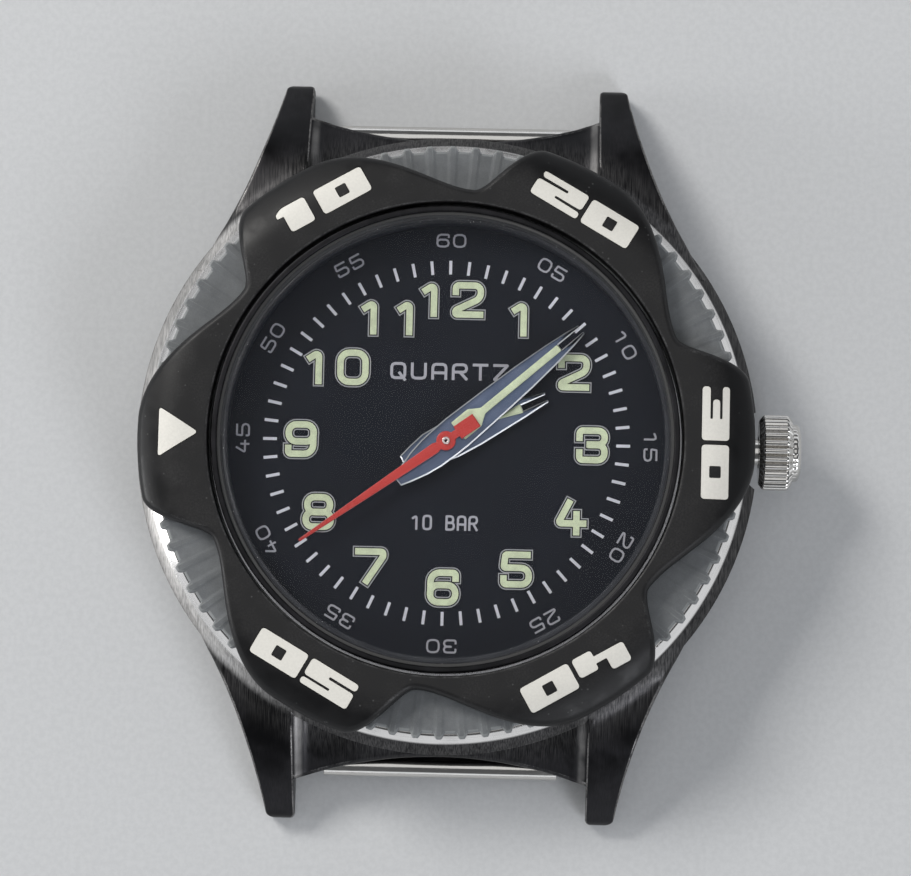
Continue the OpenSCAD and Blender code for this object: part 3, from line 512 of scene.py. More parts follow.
# %% Starting a material
def start_material(name, **sockets):
    """A material with a Principled shader whose plain sockets are set."""
    material = bpy.data.materials.new(name)
    material.use_nodes = True
    tree = material.node_tree
    tree.nodes.clear()
    shader = tree.nodes.new("ShaderNodeBsdfPrincipled")
    output = tree.nodes.new("ShaderNodeOutputMaterial")
    tree.links.new(shader.outputs[0], output.inputs[0])
    for socket, value in sockets.items():
        shader.inputs[socket.replace("_", " ")].default_value = value
    return material, tree, shader


def bump(tree, shader, height, depth_mm, strength=1.0):
    """Feeds a height to the shader's normal, depth_mm deep from its lowest to its highest."""
    made = node(tree, "Bump", Height=height, Strength=strength, Distance=depth_mm * MM)
    tree.links.new(made.outputs[0], shader.inputs["Normal"])


def colour(r, g, b):
    """An opaque colour."""
    return (r, g, b, 1.0)


def shade(rgb, factor):
    """The colour made lighter or darker."""
    return colour(*(min(1.0, c * factor) for c in rgb))


# %% Plain metals
def metal(name, rgb, rough, lines="lathe", fineness=30.0, depth=0.004, stretch=(30.0, 0.6, 30.0)):
    """Bare or plated metal, with lathe or brush lines that change its tone, gloss and height."""
    material, tree, shader = start_material(name, Metallic=1.0)
    if lines == "lathe":
        tone, height = use_group(tree, LATHE, Fineness=fineness)
    else:
        tone, height = use_group(tree, BRUSH, Stretch=stretch)
    touched = use_group(tree, HANDLING, Size=3.0)[0]
    tree.links.new(mix_colour(tree, tone, shade(rgb, 0.86), shade(rgb, 1.1)),
                   shader.inputs["Base Color"])
    gloss = calc(tree, "ADD", ramp(tree, tone, 0.3, 0.7, rough * 0.85, rough * 1.2),
                 calc(tree, "MULTIPLY", touched, 0.06))
    tree.links.new(gloss, shader.inputs["Roughness"])
    bump(tree, shader, height, depth)
    return material


# %% Paints, inks and plastics
def coat(name, rgb, rough, grain=0.1, depth=0.003, spread=0.12, **sockets):
    """Paint, ink, rubber or moulded plastic: an even colour with a fine tooth and uneven gloss."""
    material, tree, shader = start_material(name, **sockets)
    tone, height = use_group(tree, GRAIN, Size=grain)
    touched = use_group(tree, HANDLING, Size=4.0)[0]
    both = calc(tree, "ADD", calc(tree, "MULTIPLY", tone, 0.6), calc(tree, "MULTIPLY", touched, 0.4))
    tree.links.new(mix_colour(tree, both, shade(rgb, 1 - spread), shade(rgb, 1 + spread)),
                   shader.inputs["Base Color"])
    tree.links.new(ramp(tree, both, 0.2, 0.8, rough * 0.88, rough * 1.12), shader.inputs["Roughness"])
    bump(tree, shader, height, depth)
    return material


# %% Where the case is bare
def case_zones(tree):
    """Masks for the turned bevel, for the painted highlights on the shoulder, the left side and the
    creases beside the hoods, for the lugs, and for all that lies outside the rim of the glass. Each is a
    product of soft steps."""
    x, y, z, radius = round_axis(tree)
    turned_ring = calc(tree, "MULTIPLY", ramp(tree, radius, 19.0, 19.4), ramp(tree, radius, 20.56, 20.4))
    bevel = calc(tree, "MULTIPLY", ramp(tree, z, 6.5, 6.6), turned_ring)
    shoulder = calc(tree, "MULTIPLY", ramp(tree, radius, 23.6, 20.8), ramp(tree, z, 3.0, 5.5))
    left = calc(tree, "MULTIPLY", ramp(tree, x, -9.0, -16.0),
                calc(tree, "MULTIPLY", ramp(tree, z, 5.2, 6.0), ramp(tree, radius, 21.5, 21.0)))
    across = calc(tree, "ABSOLUTE", x)
    crease = calc(tree, "MULTIPLY", ramp(tree, calc(tree, "ABSOLUTE", y), 17.0, 18.5),
                  calc(tree, "MULTIPLY", ramp(tree, across, 9.3, 9.6), ramp(tree, across, 9.98, 9.8)))
    return bevel, shoulder, left, crease, ramp(tree, radius, 21.3, 22.5), ramp(tree, radius, 16.5, 18.0)


# %% The coated case
STEEL = (0.56, 0.545, 0.53)


def coated_case():
    """Black coating over brushed steel, laid down in zones. The turned bevel under the bezel is
    uncoated steel. Round the shoulder, along the left side and in the creases beside the hoods, steel
    is mixed into the coat as painted highlights. Elsewhere it stays black, but for worn edges along the
    lugs."""
    material, tree, shader = start_material("case_black")
    bevel, shoulder, left, crease, lugs, outside = case_zones(tree)
    tone, height = use_group(tree, BRUSH, Stretch=(16.0, 0.5, 3.0))
    rings = use_group(tree, LATHE, Fineness=9.0)["Tone"]
    worn = calc(tree, "MULTIPLY", use_group(tree, WEAR, Amount=0.5, Patch=1.4)["Mask"], lugs)
    touched = use_group(tree, HANDLING, Size=4.0)[0]
    streaks = ramp(tree, tone, 0.3, 0.75)

    # Painted highlights: steel shows through the coat round the shoulder, along the left side and in the
    # creases beside the hoods, to stand for light caught there. The worn edges of the lugs are real
    # wear.
    wear_and_painted_highlight = calc(tree, "MULTIPLY", shoulder, calc(tree, "MULTIPLY", streaks, 0.16))
    wear_and_painted_highlight = calc(tree, "ADD", wear_and_painted_highlight, calc(tree, "MULTIPLY", crease, calc(tree, "MULTIPLY", touched, 0.3)))
    wear_and_painted_highlight = calc(tree, "ADD", wear_and_painted_highlight, calc(tree, "MULTIPLY", left, ramp(tree, tone, 0.3, 0.6, 0.5, 0.9)))
    wear_and_painted_highlight = calc(tree, "ADD", wear_and_painted_highlight, calc(tree, "MULTIPLY", worn, 0.35))
    # Steel shows on the uncoated bevel, on the worn lug edges and in the painted highlights.
    bare_and_painted_highlight = calc(tree, "MAXIMUM", calc(tree, "MULTIPLY", wear_and_painted_highlight, outside), bevel, clamp=True)

    black = mix_colour(tree, calc(tree, "MULTIPLY", tone, touched), colour(0.006, 0.006, 0.007),
                       colour(0.034, 0.033, 0.037))
    steel = mix_colour(tree, rings, shade(STEEL, 0.85), shade(STEEL, 1.12))
    tree.links.new(mix_colour(tree, bare_and_painted_highlight, black, steel), shader.inputs["Base Color"])
    tree.links.new(ramp(tree, bare_and_painted_highlight, 0.0, 1.0, 0.75, 1.0), shader.inputs["Metallic"])
    rough = ramp(tree, calc(tree, "ADD", calc(tree, "MULTIPLY", tone, 0.5),
                            calc(tree, "MULTIPLY", touched, 0.5)), 0.3, 0.7, 0.3, 0.42)
    tree.links.new(calc(tree, "SUBTRACT", rough, calc(tree, "MULTIPLY", bevel, 0.18)),
                   shader.inputs["Roughness"])
    turned_part = calc(tree, "MULTIPLY", rings, bevel)
    milled_part = calc(tree, "MULTIPLY", height, calc(tree, "SUBTRACT", 1.0, bevel))
    bump(tree, shader, calc(tree, "ADD", turned_part, milled_part), 0.003)
    return material


# %% The bezel
def satin_bezel():
    """Satin black paint with a faint uneven tone, fine tooth, and pale scuffs on its edges. Its
    colour is darkest on the slopes: painted shade, lighter on the flat top."""
    material, tree, shader = start_material("bezel_black", Specular_IOR_Level=0.27)
    tone, height = use_group(tree, GRAIN, Size=0.12)
    touched = use_group(tree, HANDLING, Size=2.2)[0]
    worn = use_group(tree, WEAR, Amount=0.42, Patch=0.8)["Mask"]
    dots = use_group(tree, SPECKS, Size=0.55, Amount=0.5)["Mask"]
    z = node(tree, "SeparateXYZ", i0=place_in_mm(tree)).outputs[2]
    # Painted shade: the colour darkens from the flat top down the slopes.
    painted_slope_shade = ramp(tree, z, 9.75, 10.15, 0.12, 1.0)
    uneven = ramp(tree, calc(tree, "MULTIPLY", tone, touched), 0, 1, 0.5, 1.0)
    mottle_and_slope_shade = calc(tree, "MULTIPLY", painted_slope_shade, uneven)
    base = mix_colour(tree, mottle_and_slope_shade, colour(0.003, 0.003, 0.0035), colour(0.022, 0.0215, 0.022))
    pale = calc(tree, "MAXIMUM", calc(tree, "MULTIPLY", worn, 0.35), calc(tree, "MULTIPLY", dots, 0.5))
    tree.links.new(mix_colour(tree, pale, base, colour(0.22, 0.22, 0.22)), shader.inputs["Base Color"])
    tree.links.new(ramp(tree, touched, 0.0, 1.0, 0.36, 0.48), shader.inputs["Roughness"])
    bump(tree, shader, height, 0.004)
    return material


# %% The grip ring
def frosted_grip():
    """Frosted grey-green plastic, a little translucent, with paler worn ribs."""
    material, tree, shader = start_material(
        "bezel_grip", Subsurface_Weight=0.25, Subsurface_Radius=(0.6, 0.6, 0.5),
        Subsurface_Scale=0.5 * MM)
    tone, height = use_group(tree, GRAIN, Size=0.09)
    touched = use_group(tree, HANDLING, Size=1.4)[0]
    worn = use_group(tree, WEAR, Amount=0.75, Patch=0.7)["Mask"]
    both = calc(tree, "ADD", calc(tree, "MULTIPLY", tone, 0.35), calc(tree, "MULTIPLY", touched, 0.65))
    base = mix_colour(tree, both, colour(0.12, 0.128, 0.135), colour(0.18, 0.19, 0.197))
    tree.links.new(mix_colour(tree, calc(tree, "MULTIPLY", worn, 0.5), base,
                              colour(0.3, 0.31, 0.31)), shader.inputs["Base Color"])
    tree.links.new(ramp(tree, both, 0.2, 0.8, 0.5, 0.66), shader.inputs["Roughness"])
    bump(tree, shader, height, 0.006)
    return material


# %% The glass
def mineral_glass():
    """Clear flat glass that lets the dial show, with a ground edge that looks grey and scuffed.
    Alpha makes the flat nearly invisible, and its gloss still catches the lights."""
    material, tree, shader = start_material("crystal_glass", IOR=1.52, Metallic=0.0,
                                            Specular_IOR_Level=0.9)
    x, y, z, radius = round_axis(tree)
    edge = ramp(tree, radius, 14.72, 14.9)
    lines = use_group(tree, LATHE, Fineness=24.0)["Tone"]
    dots = use_group(tree, SPECKS, Size=0.3, Amount=1.0)["Mask"]
    tree.links.new(mix_colour(tree, dots, colour(0.15, 0.155, 0.17), colour(0.8, 0.8, 0.78)),
                   shader.inputs["Base Color"])
    tree.links.new(ramp(tree, edge, 0.0, 1.0, 0.02, 0.3), shader.inputs["Roughness"])
    ground = calc(tree, "ADD", ramp(tree, lines, 0.35, 0.65, 0.05, 0.2),
                  calc(tree, "MULTIPLY", dots, 0.5))
    tree.links.new(calc(tree, "ADD", calc(tree, "MULTIPLY", edge, ground), 0.025),
                   shader.inputs["Alpha"])
    return material


# %% Luminous paint
def luminous(name, rgb):
    """Thick pale green paint laid by hand: grainy, slightly uneven and matt."""
    material, tree, shader = start_material(name, Emission_Strength=0.04)
    tone, height = use_group(tree, GRAIN, Size=0.07)
    touched = use_group(tree, HANDLING, Size=0.8)[0]
    both = calc(tree, "ADD", calc(tree, "MULTIPLY", tone, 0.4), calc(tree, "MULTIPLY", touched, 0.6))
    made = mix_colour(tree, both, shade(rgb, 0.8), shade(rgb, 1.12))
    tree.links.new(made, shader.inputs["Base Color"])
    tree.links.new(made, shader.inputs["Emission Color"])
    tree.links.new(ramp(tree, both, 0.2, 0.8, 0.5, 0.75), shader.inputs["Roughness"])
    bump(tree, shader, height, 0.01)
    return material


# %% Lacquered hands
def hand_lacquer():
    """Steel under a thin slate-blue lacquer, which stops short of the polished bevels: the
    lacquer lies where the surface faces up."""
    material, tree, shader = start_material("hand_blue", Metallic=1.0, Roughness=0.28)
    up = node(tree, "SeparateXYZ", i0=node(tree, "NewGeometry").outputs["True Normal"]).outputs[2]
    tone = use_group(tree, HANDLING, Size=2.0)["Tone"]
    blue = mix_colour(tree, tone, colour(0.1, 0.135, 0.22), colour(0.14, 0.175, 0.27))
    flat = ramp(tree, up, 0.93, 0.98)
    tree.links.new(mix_colour(tree, flat, colour(0.55, 0.56, 0.58), blue), shader.inputs["Base Color"])
    tree.links.new(ramp(tree, flat, 0.0, 1.0, 1.0, 0.55), shader.inputs["Metallic"])
    return material


# %% The eyelet of the second hand
def eyelet():
    """Polished steel with a dark disc in the middle, by distance from the axis: painted shade that
    stands for the hole of the tube.
    """
    material, tree, shader = start_material("eyelet", Metallic=1.0, Roughness=0.2)
    x, y, z, radius = round_axis(tree)
    # Painted shade: the dark centre stands for the shadowed hole.
    tree.links.new(mix_colour(tree, ramp(tree, radius, 0.09, 0.12), colour(0.03, 0.02, 0.02),
                              colour(0.7, 0.6, 0.58)), shader.inputs["Base Color"])
    return material


# %% One finish for each slot
FINISHES = {
    "case_black": coated_case(),
    "back_steel": metal("back_steel", (0.5, 0.5, 0.5), 0.28, fineness=26.0),
    "polished_steel": metal("polished_steel", (0.68, 0.665, 0.64), 0.12, fineness=8.0, depth=0.001),
    "spring_steel": metal("spring_steel", (0.5, 0.5, 0.52), 0.25, lines="brush"),
    "bezel_black": satin_bezel(),
    "bezel_grip": frosted_grip(),
    "inlay_white": coat("inlay_white", (0.78, 0.76, 0.7), 0.34, grain=0.16, depth=0.006, spread=0.05),
    "crystal_glass": mineral_glass(),
    "gasket_clear": coat("gasket_clear", (0.05, 0.05, 0.05), 0.35),
    "rubber_black": coat("rubber_black", (0.02, 0.02, 0.02), 0.62, grain=0.06),
    "dial_black": coat("dial_black", (0.0085, 0.0105, 0.0165), 0.45, grain=0.05, depth=0.002,
                       spread=0.2, Specular_IOR_Level=0.1),
    "print_white": coat("print_white", (0.7, 0.71, 0.78), 0.5, grain=0.05),
    "print_grey": coat("print_grey", (0.42, 0.42, 0.47), 0.5, grain=0.05),
    "numeral_silver": metal("numeral_silver", (0.42, 0.43, 0.45), 0.3, lines="brush"),
    "lume": luminous("lume", (0.66, 0.74, 0.51)),
    "hand_blue": hand_lacquer(),
    "hand_red": coat("hand_red", (0.55, 0.035, 0.028), 0.3, grain=0.08, depth=0.002),
    "brass": metal("brass", (0.68, 0.5, 0.22), 0.24),
    "bridge_nickel": metal("bridge_nickel", (0.56, 0.56, 0.56), 0.26, lines="brush"),
    "holder_white": coat("holder_white", (0.68, 0.67, 0.62), 0.45),
    "board_green": coat("board_green", (0.025, 0.12, 0.055), 0.35),
    "chip_black": coat("chip_black", (0.012, 0.012, 0.013), 0.5),
    "copper_wire": metal("copper_wire", (0.62, 0.24, 0.1), 0.3),
}


def finish(made, slot):
    """Gives a part the finish of a record slot."""
    made.data.materials.clear()
    made.data.materials.append(FINISHES[slot])


for part in frame["record"]["subparts"]:
    finish(frame["nodes"][part["node"]], part["material_slot"])


def stand_for(made, body, slot, *nodes):
    """A finished new piece takes the place of CAD nodes, on their body."""
    finish(made, slot)
    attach(made, body)
    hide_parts(*nodes)
    print(made.name, "has", len(made.data.polygons), "faces, for", ", ".join(nodes))
    return made


# %% [markdown]
# ## The case
# The middle of the case is turned: a foot, a swelling flank, a bare bevel in two facets, and a
# neck that the bezel turns on. Its section is one closed profile with every corner eased, because
# a real edge always has a small radius that catches the light.

# %% Turn the case body
CASE_R = 21.2
BEVEL_R = 19.9
SHOULDER_Z = 7.2
NECK_R, RIM_Z = 15.8, 10.05
SEAT_R, SEAT_Z = 15.42, 8.5
BORE_R, THREAD_R, THREAD_TOP = 15.15, 15.9, 2.5
FOOT_R, FOOT_Z, FLANK_Z = 19.2, 0.9, 5.8
BEVEL_FACETS = [(20.45, 6.74), (21.02, 6.33)]
CASE_EASE = 0.1


def case_section():
    """Inside up, over the rim, down the neck, out along the shoulder and down the flank. The
    flank swells along a quarter of an ellipse from the foot to the widest circle."""
    t = np.radians(np.linspace(90, 0, 10))
    flank = [(FOOT_R + (CASE_R - FOOT_R) * math.sin(a), FOOT_Z + (FLANK_Z - FOOT_Z) * (1 - math.cos(a)))
             for a in t]
    corners = [(THREAD_R, FOOT_Z), (THREAD_R, THREAD_TOP), (BORE_R, THREAD_TOP), (BORE_R, SEAT_Z),
               (SEAT_R, SEAT_Z), (SEAT_R, RIM_Z), (NECK_R, RIM_Z), (NECK_R, SHOULDER_Z),
               (BEVEL_R, SHOULDER_Z), *BEVEL_FACETS]
    return np.concatenate([rounded(corners, CASE_EASE, 4, closed=False)[:-1], flank])


case = piece("case_shell", turned(case_section(), 360), 30)


# %% [markdown]
# The lugs are milled, and each is one section carried along the strap's direction. The section
# has four sides: an upright inner wall, a top that follows a falling arc, an outer flank on a
# hollow arc, and a flat foot. Each corner is a small curve, and near the tip the whole section
# shrinks along a quarter round, so the end is eased too.

# %% Mill the lugs
STRAP_HALF = 10.0
LUG_START, LUG_REACH, LUG_FOOT = 11.6, 25.6, 0.45
FLANK_X, FLANK_Y, FLANK_ARC = 47.3, 32.05, 36.0
TOP_Y, TOP_Z, TOP_ARC = 10.84, -13.7, 21.2
CONE_R, CONE_Z = [19.9, 20.45, 21.0, 21.5, 31.0], [7.12, 6.68, 6.28, 5.82, 4.4]
CREASE_SOFTNESS = 0.25
ROOT_SWELL = 0.2
LUG_EASE, TIP_EASE = 0.22, 0.35


def soft_step(t):
    """0 below 0, 1 above 1, and 3t^2 - 2t^3 between."""
    t = np.clip(t, 0, 1)
    return t * t * (3 - 2 * t)


def falling_arc(y):
    """Height of the circle that the lugs' tops follow: z0 + sqrt(R^2 - (y - y0)^2)."""
    return TOP_Z + np.sqrt(TOP_ARC ** 2 - (y - TOP_Y) ** 2)


def top_height(x, y):
    """The falling arc, kept under a shallow cone round the case. Where the two cross, the lower
    one is lowered by half of k exp(-gap / k), which softens the crease."""
    arc = falling_arc(y)
    cone = np.interp(np.hypot(x, y), CONE_R, CONE_Z)
    low, k = np.minimum(arc, cone), CREASE_SOFTNESS
    return low - k * np.exp(-np.abs(arc - cone) / k) * 0.5


def body_radius(z):
    """Radius of the turned flank: a quarter of an ellipse from the foot to the widest circle."""
    rise = np.clip((z - FOOT_Z) / (FLANK_Z - FOOT_Z), 0, 1)
    return FOOT_R + (CASE_R - FOOT_R) * np.sqrt(1 - (1 - rise) ** 2)


def outer_wall(y, z):
    """The hollow arc of the flank. Near the root the arc's radius grows towards the foot by as
    much as the case narrows there, so the lug runs into the case without a step. At the very root
    it grows a little more, which buries the lug's end in the case."""
    radius = FLANK_ARC + (CASE_R - body_radius(z)) * soft_step((21 - y) / 9)
    radius = radius + ROOT_SWELL * soft_step((14.5 - y) / 2.9)
    return FLANK_X - np.sqrt(radius ** 2 - (y - FLANK_Y) ** 2)


def lug_section(y, shrink):
    """The section at y: foot, outer wall, top and inner wall, with its four corners eased."""
    foot = LUG_FOOT + shrink
    wall_top = top_height(outer_wall(y, 4.0), y) - shrink
    wall_z = np.linspace(foot, wall_top, 9)
    wall_x = outer_wall(y, wall_z) - shrink * 1.6
    top_x = np.linspace(wall_x[-1], STRAP_HALF + shrink, 9)
    top_z = top_height(top_x, y) - shrink
    corners = [(STRAP_HALF + shrink, foot, 0.8)]
    corners += [(x, z, s) for x, z, s in zip(wall_x, wall_z, [0.8] + [0] * 7)]
    corners += [(x, z, s) for x, z, s in zip(top_x, top_z, [2.2] + [0] * 7 + [1.2])]
    return rounded(corners, LUG_EASE, 5)


def lug(steps=60):
    """Sections carried along y; the last ones shrink along a quarter round, which eases the tip."""
    run = np.linspace(LUG_START, LUG_REACH - TIP_EASE, steps)
    end = np.radians(np.linspace(12, 90, 7))
    stations = [(y, 0.0) for y in run]
    stations += [(LUG_REACH - TIP_EASE * (1 - math.sin(a)), TIP_EASE * (1 - math.cos(a))) for a in end]
    sections = [lug_section(y, shrink) for y, shrink in stations]
    rings = [np.column_stack([s[:, 0], np.full(len(s), y), s[:, 1]])
             for s, (y, shrink) in zip(sections, stations)]
    return closed_tube(np.array(rings))


def closed_tube(rings):
    """A skin over a row of closed rings, with a fan over each end."""
    count, around = rings.shape[:2]
    centres = rings[[0, -1]].mean(axis=1)
    faces = grid_faces(count, around, False, True)
    first = count * around
    faces += [[first, i, (i + 1) % around] for i in range(around)]
    start = (count - 1) * around
    faces += [[first + 1, start + (i + 1) % around, start + i] for i in range(around)]
    return np.concatenate([rings.reshape(-1, 3), centres]), faces


def mirrored(skin):
    """The skin's mirror image across the plane x = 0, with its faces turned back outwards."""
    points, faces = skin
    return points * [-1, 1, 1], [f[::-1] for f in faces]


# %% [markdown]
# Between the lugs a thin hood covers the strap's end. It is one section carried across the gap:
# under the case, out along the falling arc, round a lip, and back underneath. Its edge is a
# hollow arc in plan, and at its two ends it climbs to meet the lugs, which leaves a narrow
# slanted strip. The case's finish paints a highlight along that strip.

# %% Draw the hoods
HOOD_MID_Y, HOOD_SAG, HOOD_FOOT = 21.25, 1.75, 3.1
HOOD_ROOT_Y, HOOD_CHAMFER = 17.5, 0.15
HOOD_LIP, LIP_FALL = 0.3, 0.31


def hood(steps=81):
    """Stations along x; edge(x) is an arc, and the top follows the lugs' arc 0.6 lower, except
    in the last millimetre, where it climbs. The lip is a quarter round that also falls."""
    x = np.linspace(-STRAP_HALF - 0.35, STRAP_HALF + 0.35, steps)
    arc_r = (STRAP_HALF ** 2 + HOOD_SAG ** 2) / (2 * HOOD_SAG)
    edge = HOOD_MID_Y + arc_r - np.sqrt(arc_r ** 2 - x ** 2)
    climb = soft_step((np.abs(x) - 9.0) / 1.0)
    drop = 0.6 - 0.48 * climb
    edge, drop, ones = edge[:, None], drop[:, None], np.ones((steps, 1))
    y = HOOD_ROOT_Y + (edge - HOOD_LIP - HOOD_ROOT_Y) * np.linspace(0, 1, 26)
    z = falling_arc(y) - drop
    t = np.radians(np.linspace(15, 90, 6))
    lip_y = edge - HOOD_LIP + HOOD_LIP * np.sin(t)
    lip_z = z[:, -1:] - LIP_FALL * HOOD_LIP * np.sin(t) - HOOD_LIP * (1 - np.cos(t))
    ys = np.concatenate([y, lip_y, edge, edge - HOOD_CHAMFER, ones * HOOD_ROOT_Y], 1)
    zs = np.concatenate([z, lip_z, ones * (HOOD_FOOT + HOOD_CHAMFER), ones * HOOD_FOOT,
                         ones * HOOD_FOOT], 1)
    return closed_tube(np.stack([np.broadcast_to(x[:, None], ys.shape), ys, zs], -1))


right_lug = outward(lug())
extras = [right_lug, mirrored(right_lug), outward(hood())]
for end in (0, 180):
    for skin in extras:
        combine(case, placed(skin, end), "UNION")
print("the case with its lugs and hoods has", len(case.data.polygons), "faces")


# %% [markdown]
# Last, the drill: a seat and a bore for the crown in the flank, and four blind holes in the lugs
# for the tips of the strap bars.

# %% Drill the case
CROWN_Z, CROWN_SEAT_R, STEM_BORE_R = 4.9, 2.78, 1.0
BAR_Y, BAR_Z, BAR_HOLE_R, BAR_HOLE_END = 21.9, 2.2, 0.5, 11.3


def drill(radius, start, stop):
    """A straight cylinder on the Z axis, as a cutting tool."""
    return turned([(0, start), (radius, start), (radius, stop), (0, stop)], 64)


def lying(skin, y, z):
    """A tool on the Z axis laid along X through the point (0, y, z)."""
    points, faces = along_x(skin, z)
    return points + [0, y, 0], faces


combine(case, lying(drill(CROWN_SEAT_R, 20.5, 24.5), 0, CROWN_Z), "DIFFERENCE")
combine(case, lying(drill(STEM_BORE_R, 14, 22), 0, CROWN_Z), "DIFFERENCE")
for y in (-BAR_Y, BAR_Y):
    combine(case, lying(drill(BAR_HOLE_R, -BAR_HOLE_END, BAR_HOLE_END), y, BAR_Z), "DIFFERENCE")
smooth(case, 30)
mark_edges(case)
stand_for(case, "case", "case_black", "case_middle")


# %% [markdown]
# ## The turning bezel
# The bezel's plan has six lobes, each with a steep side and a long side. Its section runs up the
# bore, over a low dome that rolls off towards the lobes, round an eased edge and down the wall.
# Both are formulas, so the whole part is one grid: the angle round the watch by the place along
# the section.

# %% Shape the bezel
LOBES = 6
SCALLOP_R, LOBE_R = 17.0, 20.9
BEZEL_TOP, BEZEL_FOOT, BEZEL_BORE = 10.21, 8.62, 16.05
DOME_START, DOME_FALL = 17.4, 0.0722
BORE_EASE, STEEPEST_EASE = 0.14, 0.58


def lobe_radius(clock):
    """Outline radius at a clockwise angle from 12, in degrees: each lobe rises over 13 degrees,
    holds for 15 and falls over 32."""
    a = (clock - 30 + 25) % (360 / LOBES) - 25
    rise, fall = soft_step((a + 25) / 13), 1 - soft_step((a - 3) / 32)
    return SCALLOP_R + (LOBE_R - SCALLOP_R) * np.where(a < -4, rise, fall)


def dome(r):
    """Height of the bezel's top: nearly flat, then rolling off as the distance to the power 2.2."""
    return BEZEL_TOP - 0.003 * (r - BEZEL_BORE) - DOME_FALL * np.maximum(0, r - DOME_START) ** 2.2


def bezel_skin(steps=1080, ease=0.42):
    """The grid of clock angle by section. The eased edge is measured square to the outline, up to
    a limit, and it drops by no more than leaves a wall standing over the foot."""
    clock = np.arange(steps) * 360 / steps
    outline = lobe_radius(clock)
    slope = (np.roll(outline, -1) - np.roll(outline, 1)) / (2 * 2 * np.pi / steps) / outline
    reach = np.minimum(ease * np.sqrt(1 + slope ** 2), STEEPEST_EASE)
    flat = np.linspace(0, 1, 40)
    r_top = (BEZEL_BORE + BORE_EASE) + (outline - reach - BEZEL_BORE - BORE_EASE)[:, None] * flat
    z_top = dome(r_top)
    t = np.radians(np.linspace(9, 90, 10))
    r_edge = (outline - reach)[:, None] + reach[:, None] * np.sin(t)
    drop = np.minimum(ease, dome(outline) - BEZEL_FOOT - 0.08)[:, None]
    z_edge = dome(r_edge) - drop * (1 - np.cos(t))
    bore = np.array([[BEZEL_BORE, BEZEL_FOOT], [BEZEL_BORE, BEZEL_TOP - BORE_EASE],
                     [BEZEL_BORE + 0.04, BEZEL_TOP - 0.04]])
    ones = np.ones((steps, 1))
    r = np.concatenate([ones * bore[:, 0], r_top, r_edge, outline[:, None],
                        outline[:, None] - 0.03], axis=1)
    z = np.concatenate([ones * bore[:, 1], z_top, z_edge, ones * (BEZEL_FOOT + 0.03),
                        ones * BEZEL_FOOT], axis=1)
    a = np.radians(90 - clock)[:, None]
    points = np.stack([r * np.cos(a), r * np.sin(a), z], axis=-1)
    return outward((points, grid_faces(steps, r.shape[1], True, True)))


bezel = piece("bezel_plate", bezel_skin())


# %% [markdown]
# The figures count minutes in tens. They are wide blocks told apart by slits and notches, set in
# pockets and filled with white enamel. Each is drawn once as an outline in a box one unit wide
# and high, its corners are eased, and it is punched. The pockets are cut a hair wider, so a thin
# dark line surrounds each figure. A plain triangle marks the zero.

# %% Draw the figures
FIGURE_W, FIGURE_H, FIGURE_R = 3.65, 1.85, 18.15
FIGURES = {
    "0": [[(-0.5, -0.5), (0.5, -0.5), (0.5, 0.5), (-0.5, 0.5)],
          [(-0.11, -0.21, 0.4), (0.11, -0.21, 0.4), (0.11, 0.21, 0.4), (-0.11, 0.21, 0.4)]],
    "1": [[(-0.22, -0.5), (0.28, -0.5), (0.28, 0.5), (-0.21, 0.5), (-0.35, 0.34), (-0.35, 0.18, 0.4),
           (-0.22, 0.18, 0.4)]],
    "2": [[(-0.5, -0.5), (0.5, -0.5), (0.5, -0.24), (-0.05, -0.22, 0.3), (-0.05, -0.13, 0.3),
           (0.5, -0.13), (0.5, 0.5), (-0.47, 0.5), (-0.44, 0.26), (0.12, 0.26, 0.3),
           (0.12, 0.16, 0.3), (-0.5, 0.14)]],
    "3": [[(-0.5, -0.5), (0.5, -0.5), (0.5, 0.5), (-0.5, 0.5), (-0.5, 0.24), (0.1, 0.24, 0.3),
           (0.1, 0.15, 0.3), (-0.26, 0.15), (-0.26, -0.11), (0.1, -0.11, 0.3), (0.1, -0.2, 0.3),
           (-0.5, -0.2)]],
    "4": [[(-0.5, -0.24), (0.1, -0.24, 0.3), (0.1, -0.5), (0.5, -0.5), (0.5, 0.24), (0.12, 0.24),
           (0.12, 0.02, 0.3), (-0.1, 0.02, 0.3), (-0.1, 0.5), (-0.5, 0.5)]],
    "5": [[(-0.5, -0.5), (0.5, -0.5), (0.5, 0.16), (-0.06, 0.16, 0.3), (-0.06, 0.25, 0.3),
           (0.5, 0.25), (0.5, 0.5), (-0.5, 0.5), (-0.5, -0.12), (0.05, -0.12, 0.3),
           (0.05, -0.22, 0.3), (-0.5, -0.22)]],
}
FIGURE_EASE = 0.26
POCKET_FLOOR, POCKET_GAP = 9.6, 0.05
ENAMEL_SINK = 0.02


def figure_skins(grow, z0, z1):
    """All the figures as punched blocks, each grown by a hair or not at all."""
    skins = []
    for tens in range(1, 6):
        for figure, x in ((str(tens), -1.6 if tens == 1 else -2.0), ("0", 1.95)):
            outlines = []
            for points in FIGURES[figure]:
                corners = [(p[0] * FIGURE_W, p[1] * FIGURE_H, *p[2:]) for p in points]
                outlines.append(rounded(corners, FIGURE_EASE, 5) + [x, FIGURE_R])
            outlines[0] = inset(outlines[0], -grow)
            outlines[1:] = [inset(hole[::-1], -grow)[::-1] for hole in outlines[1:]]
            skins.append(placed(punched(outlines, z0, z1), -(270 + 60 * tens)))
    marker = rounded([(-1.7, FIGURE_R + 1.2), (0, FIGURE_R - 1.5), (1.7, FIGURE_R + 1.2)], 0.3)
    marker = marker if signed_area(marker) > 0 else marker[::-1]
    skins.append(placed(punched([inset(marker, -grow)], z0, z1), -270))
    return join_skins(*[outward(skin) for skin in skins])


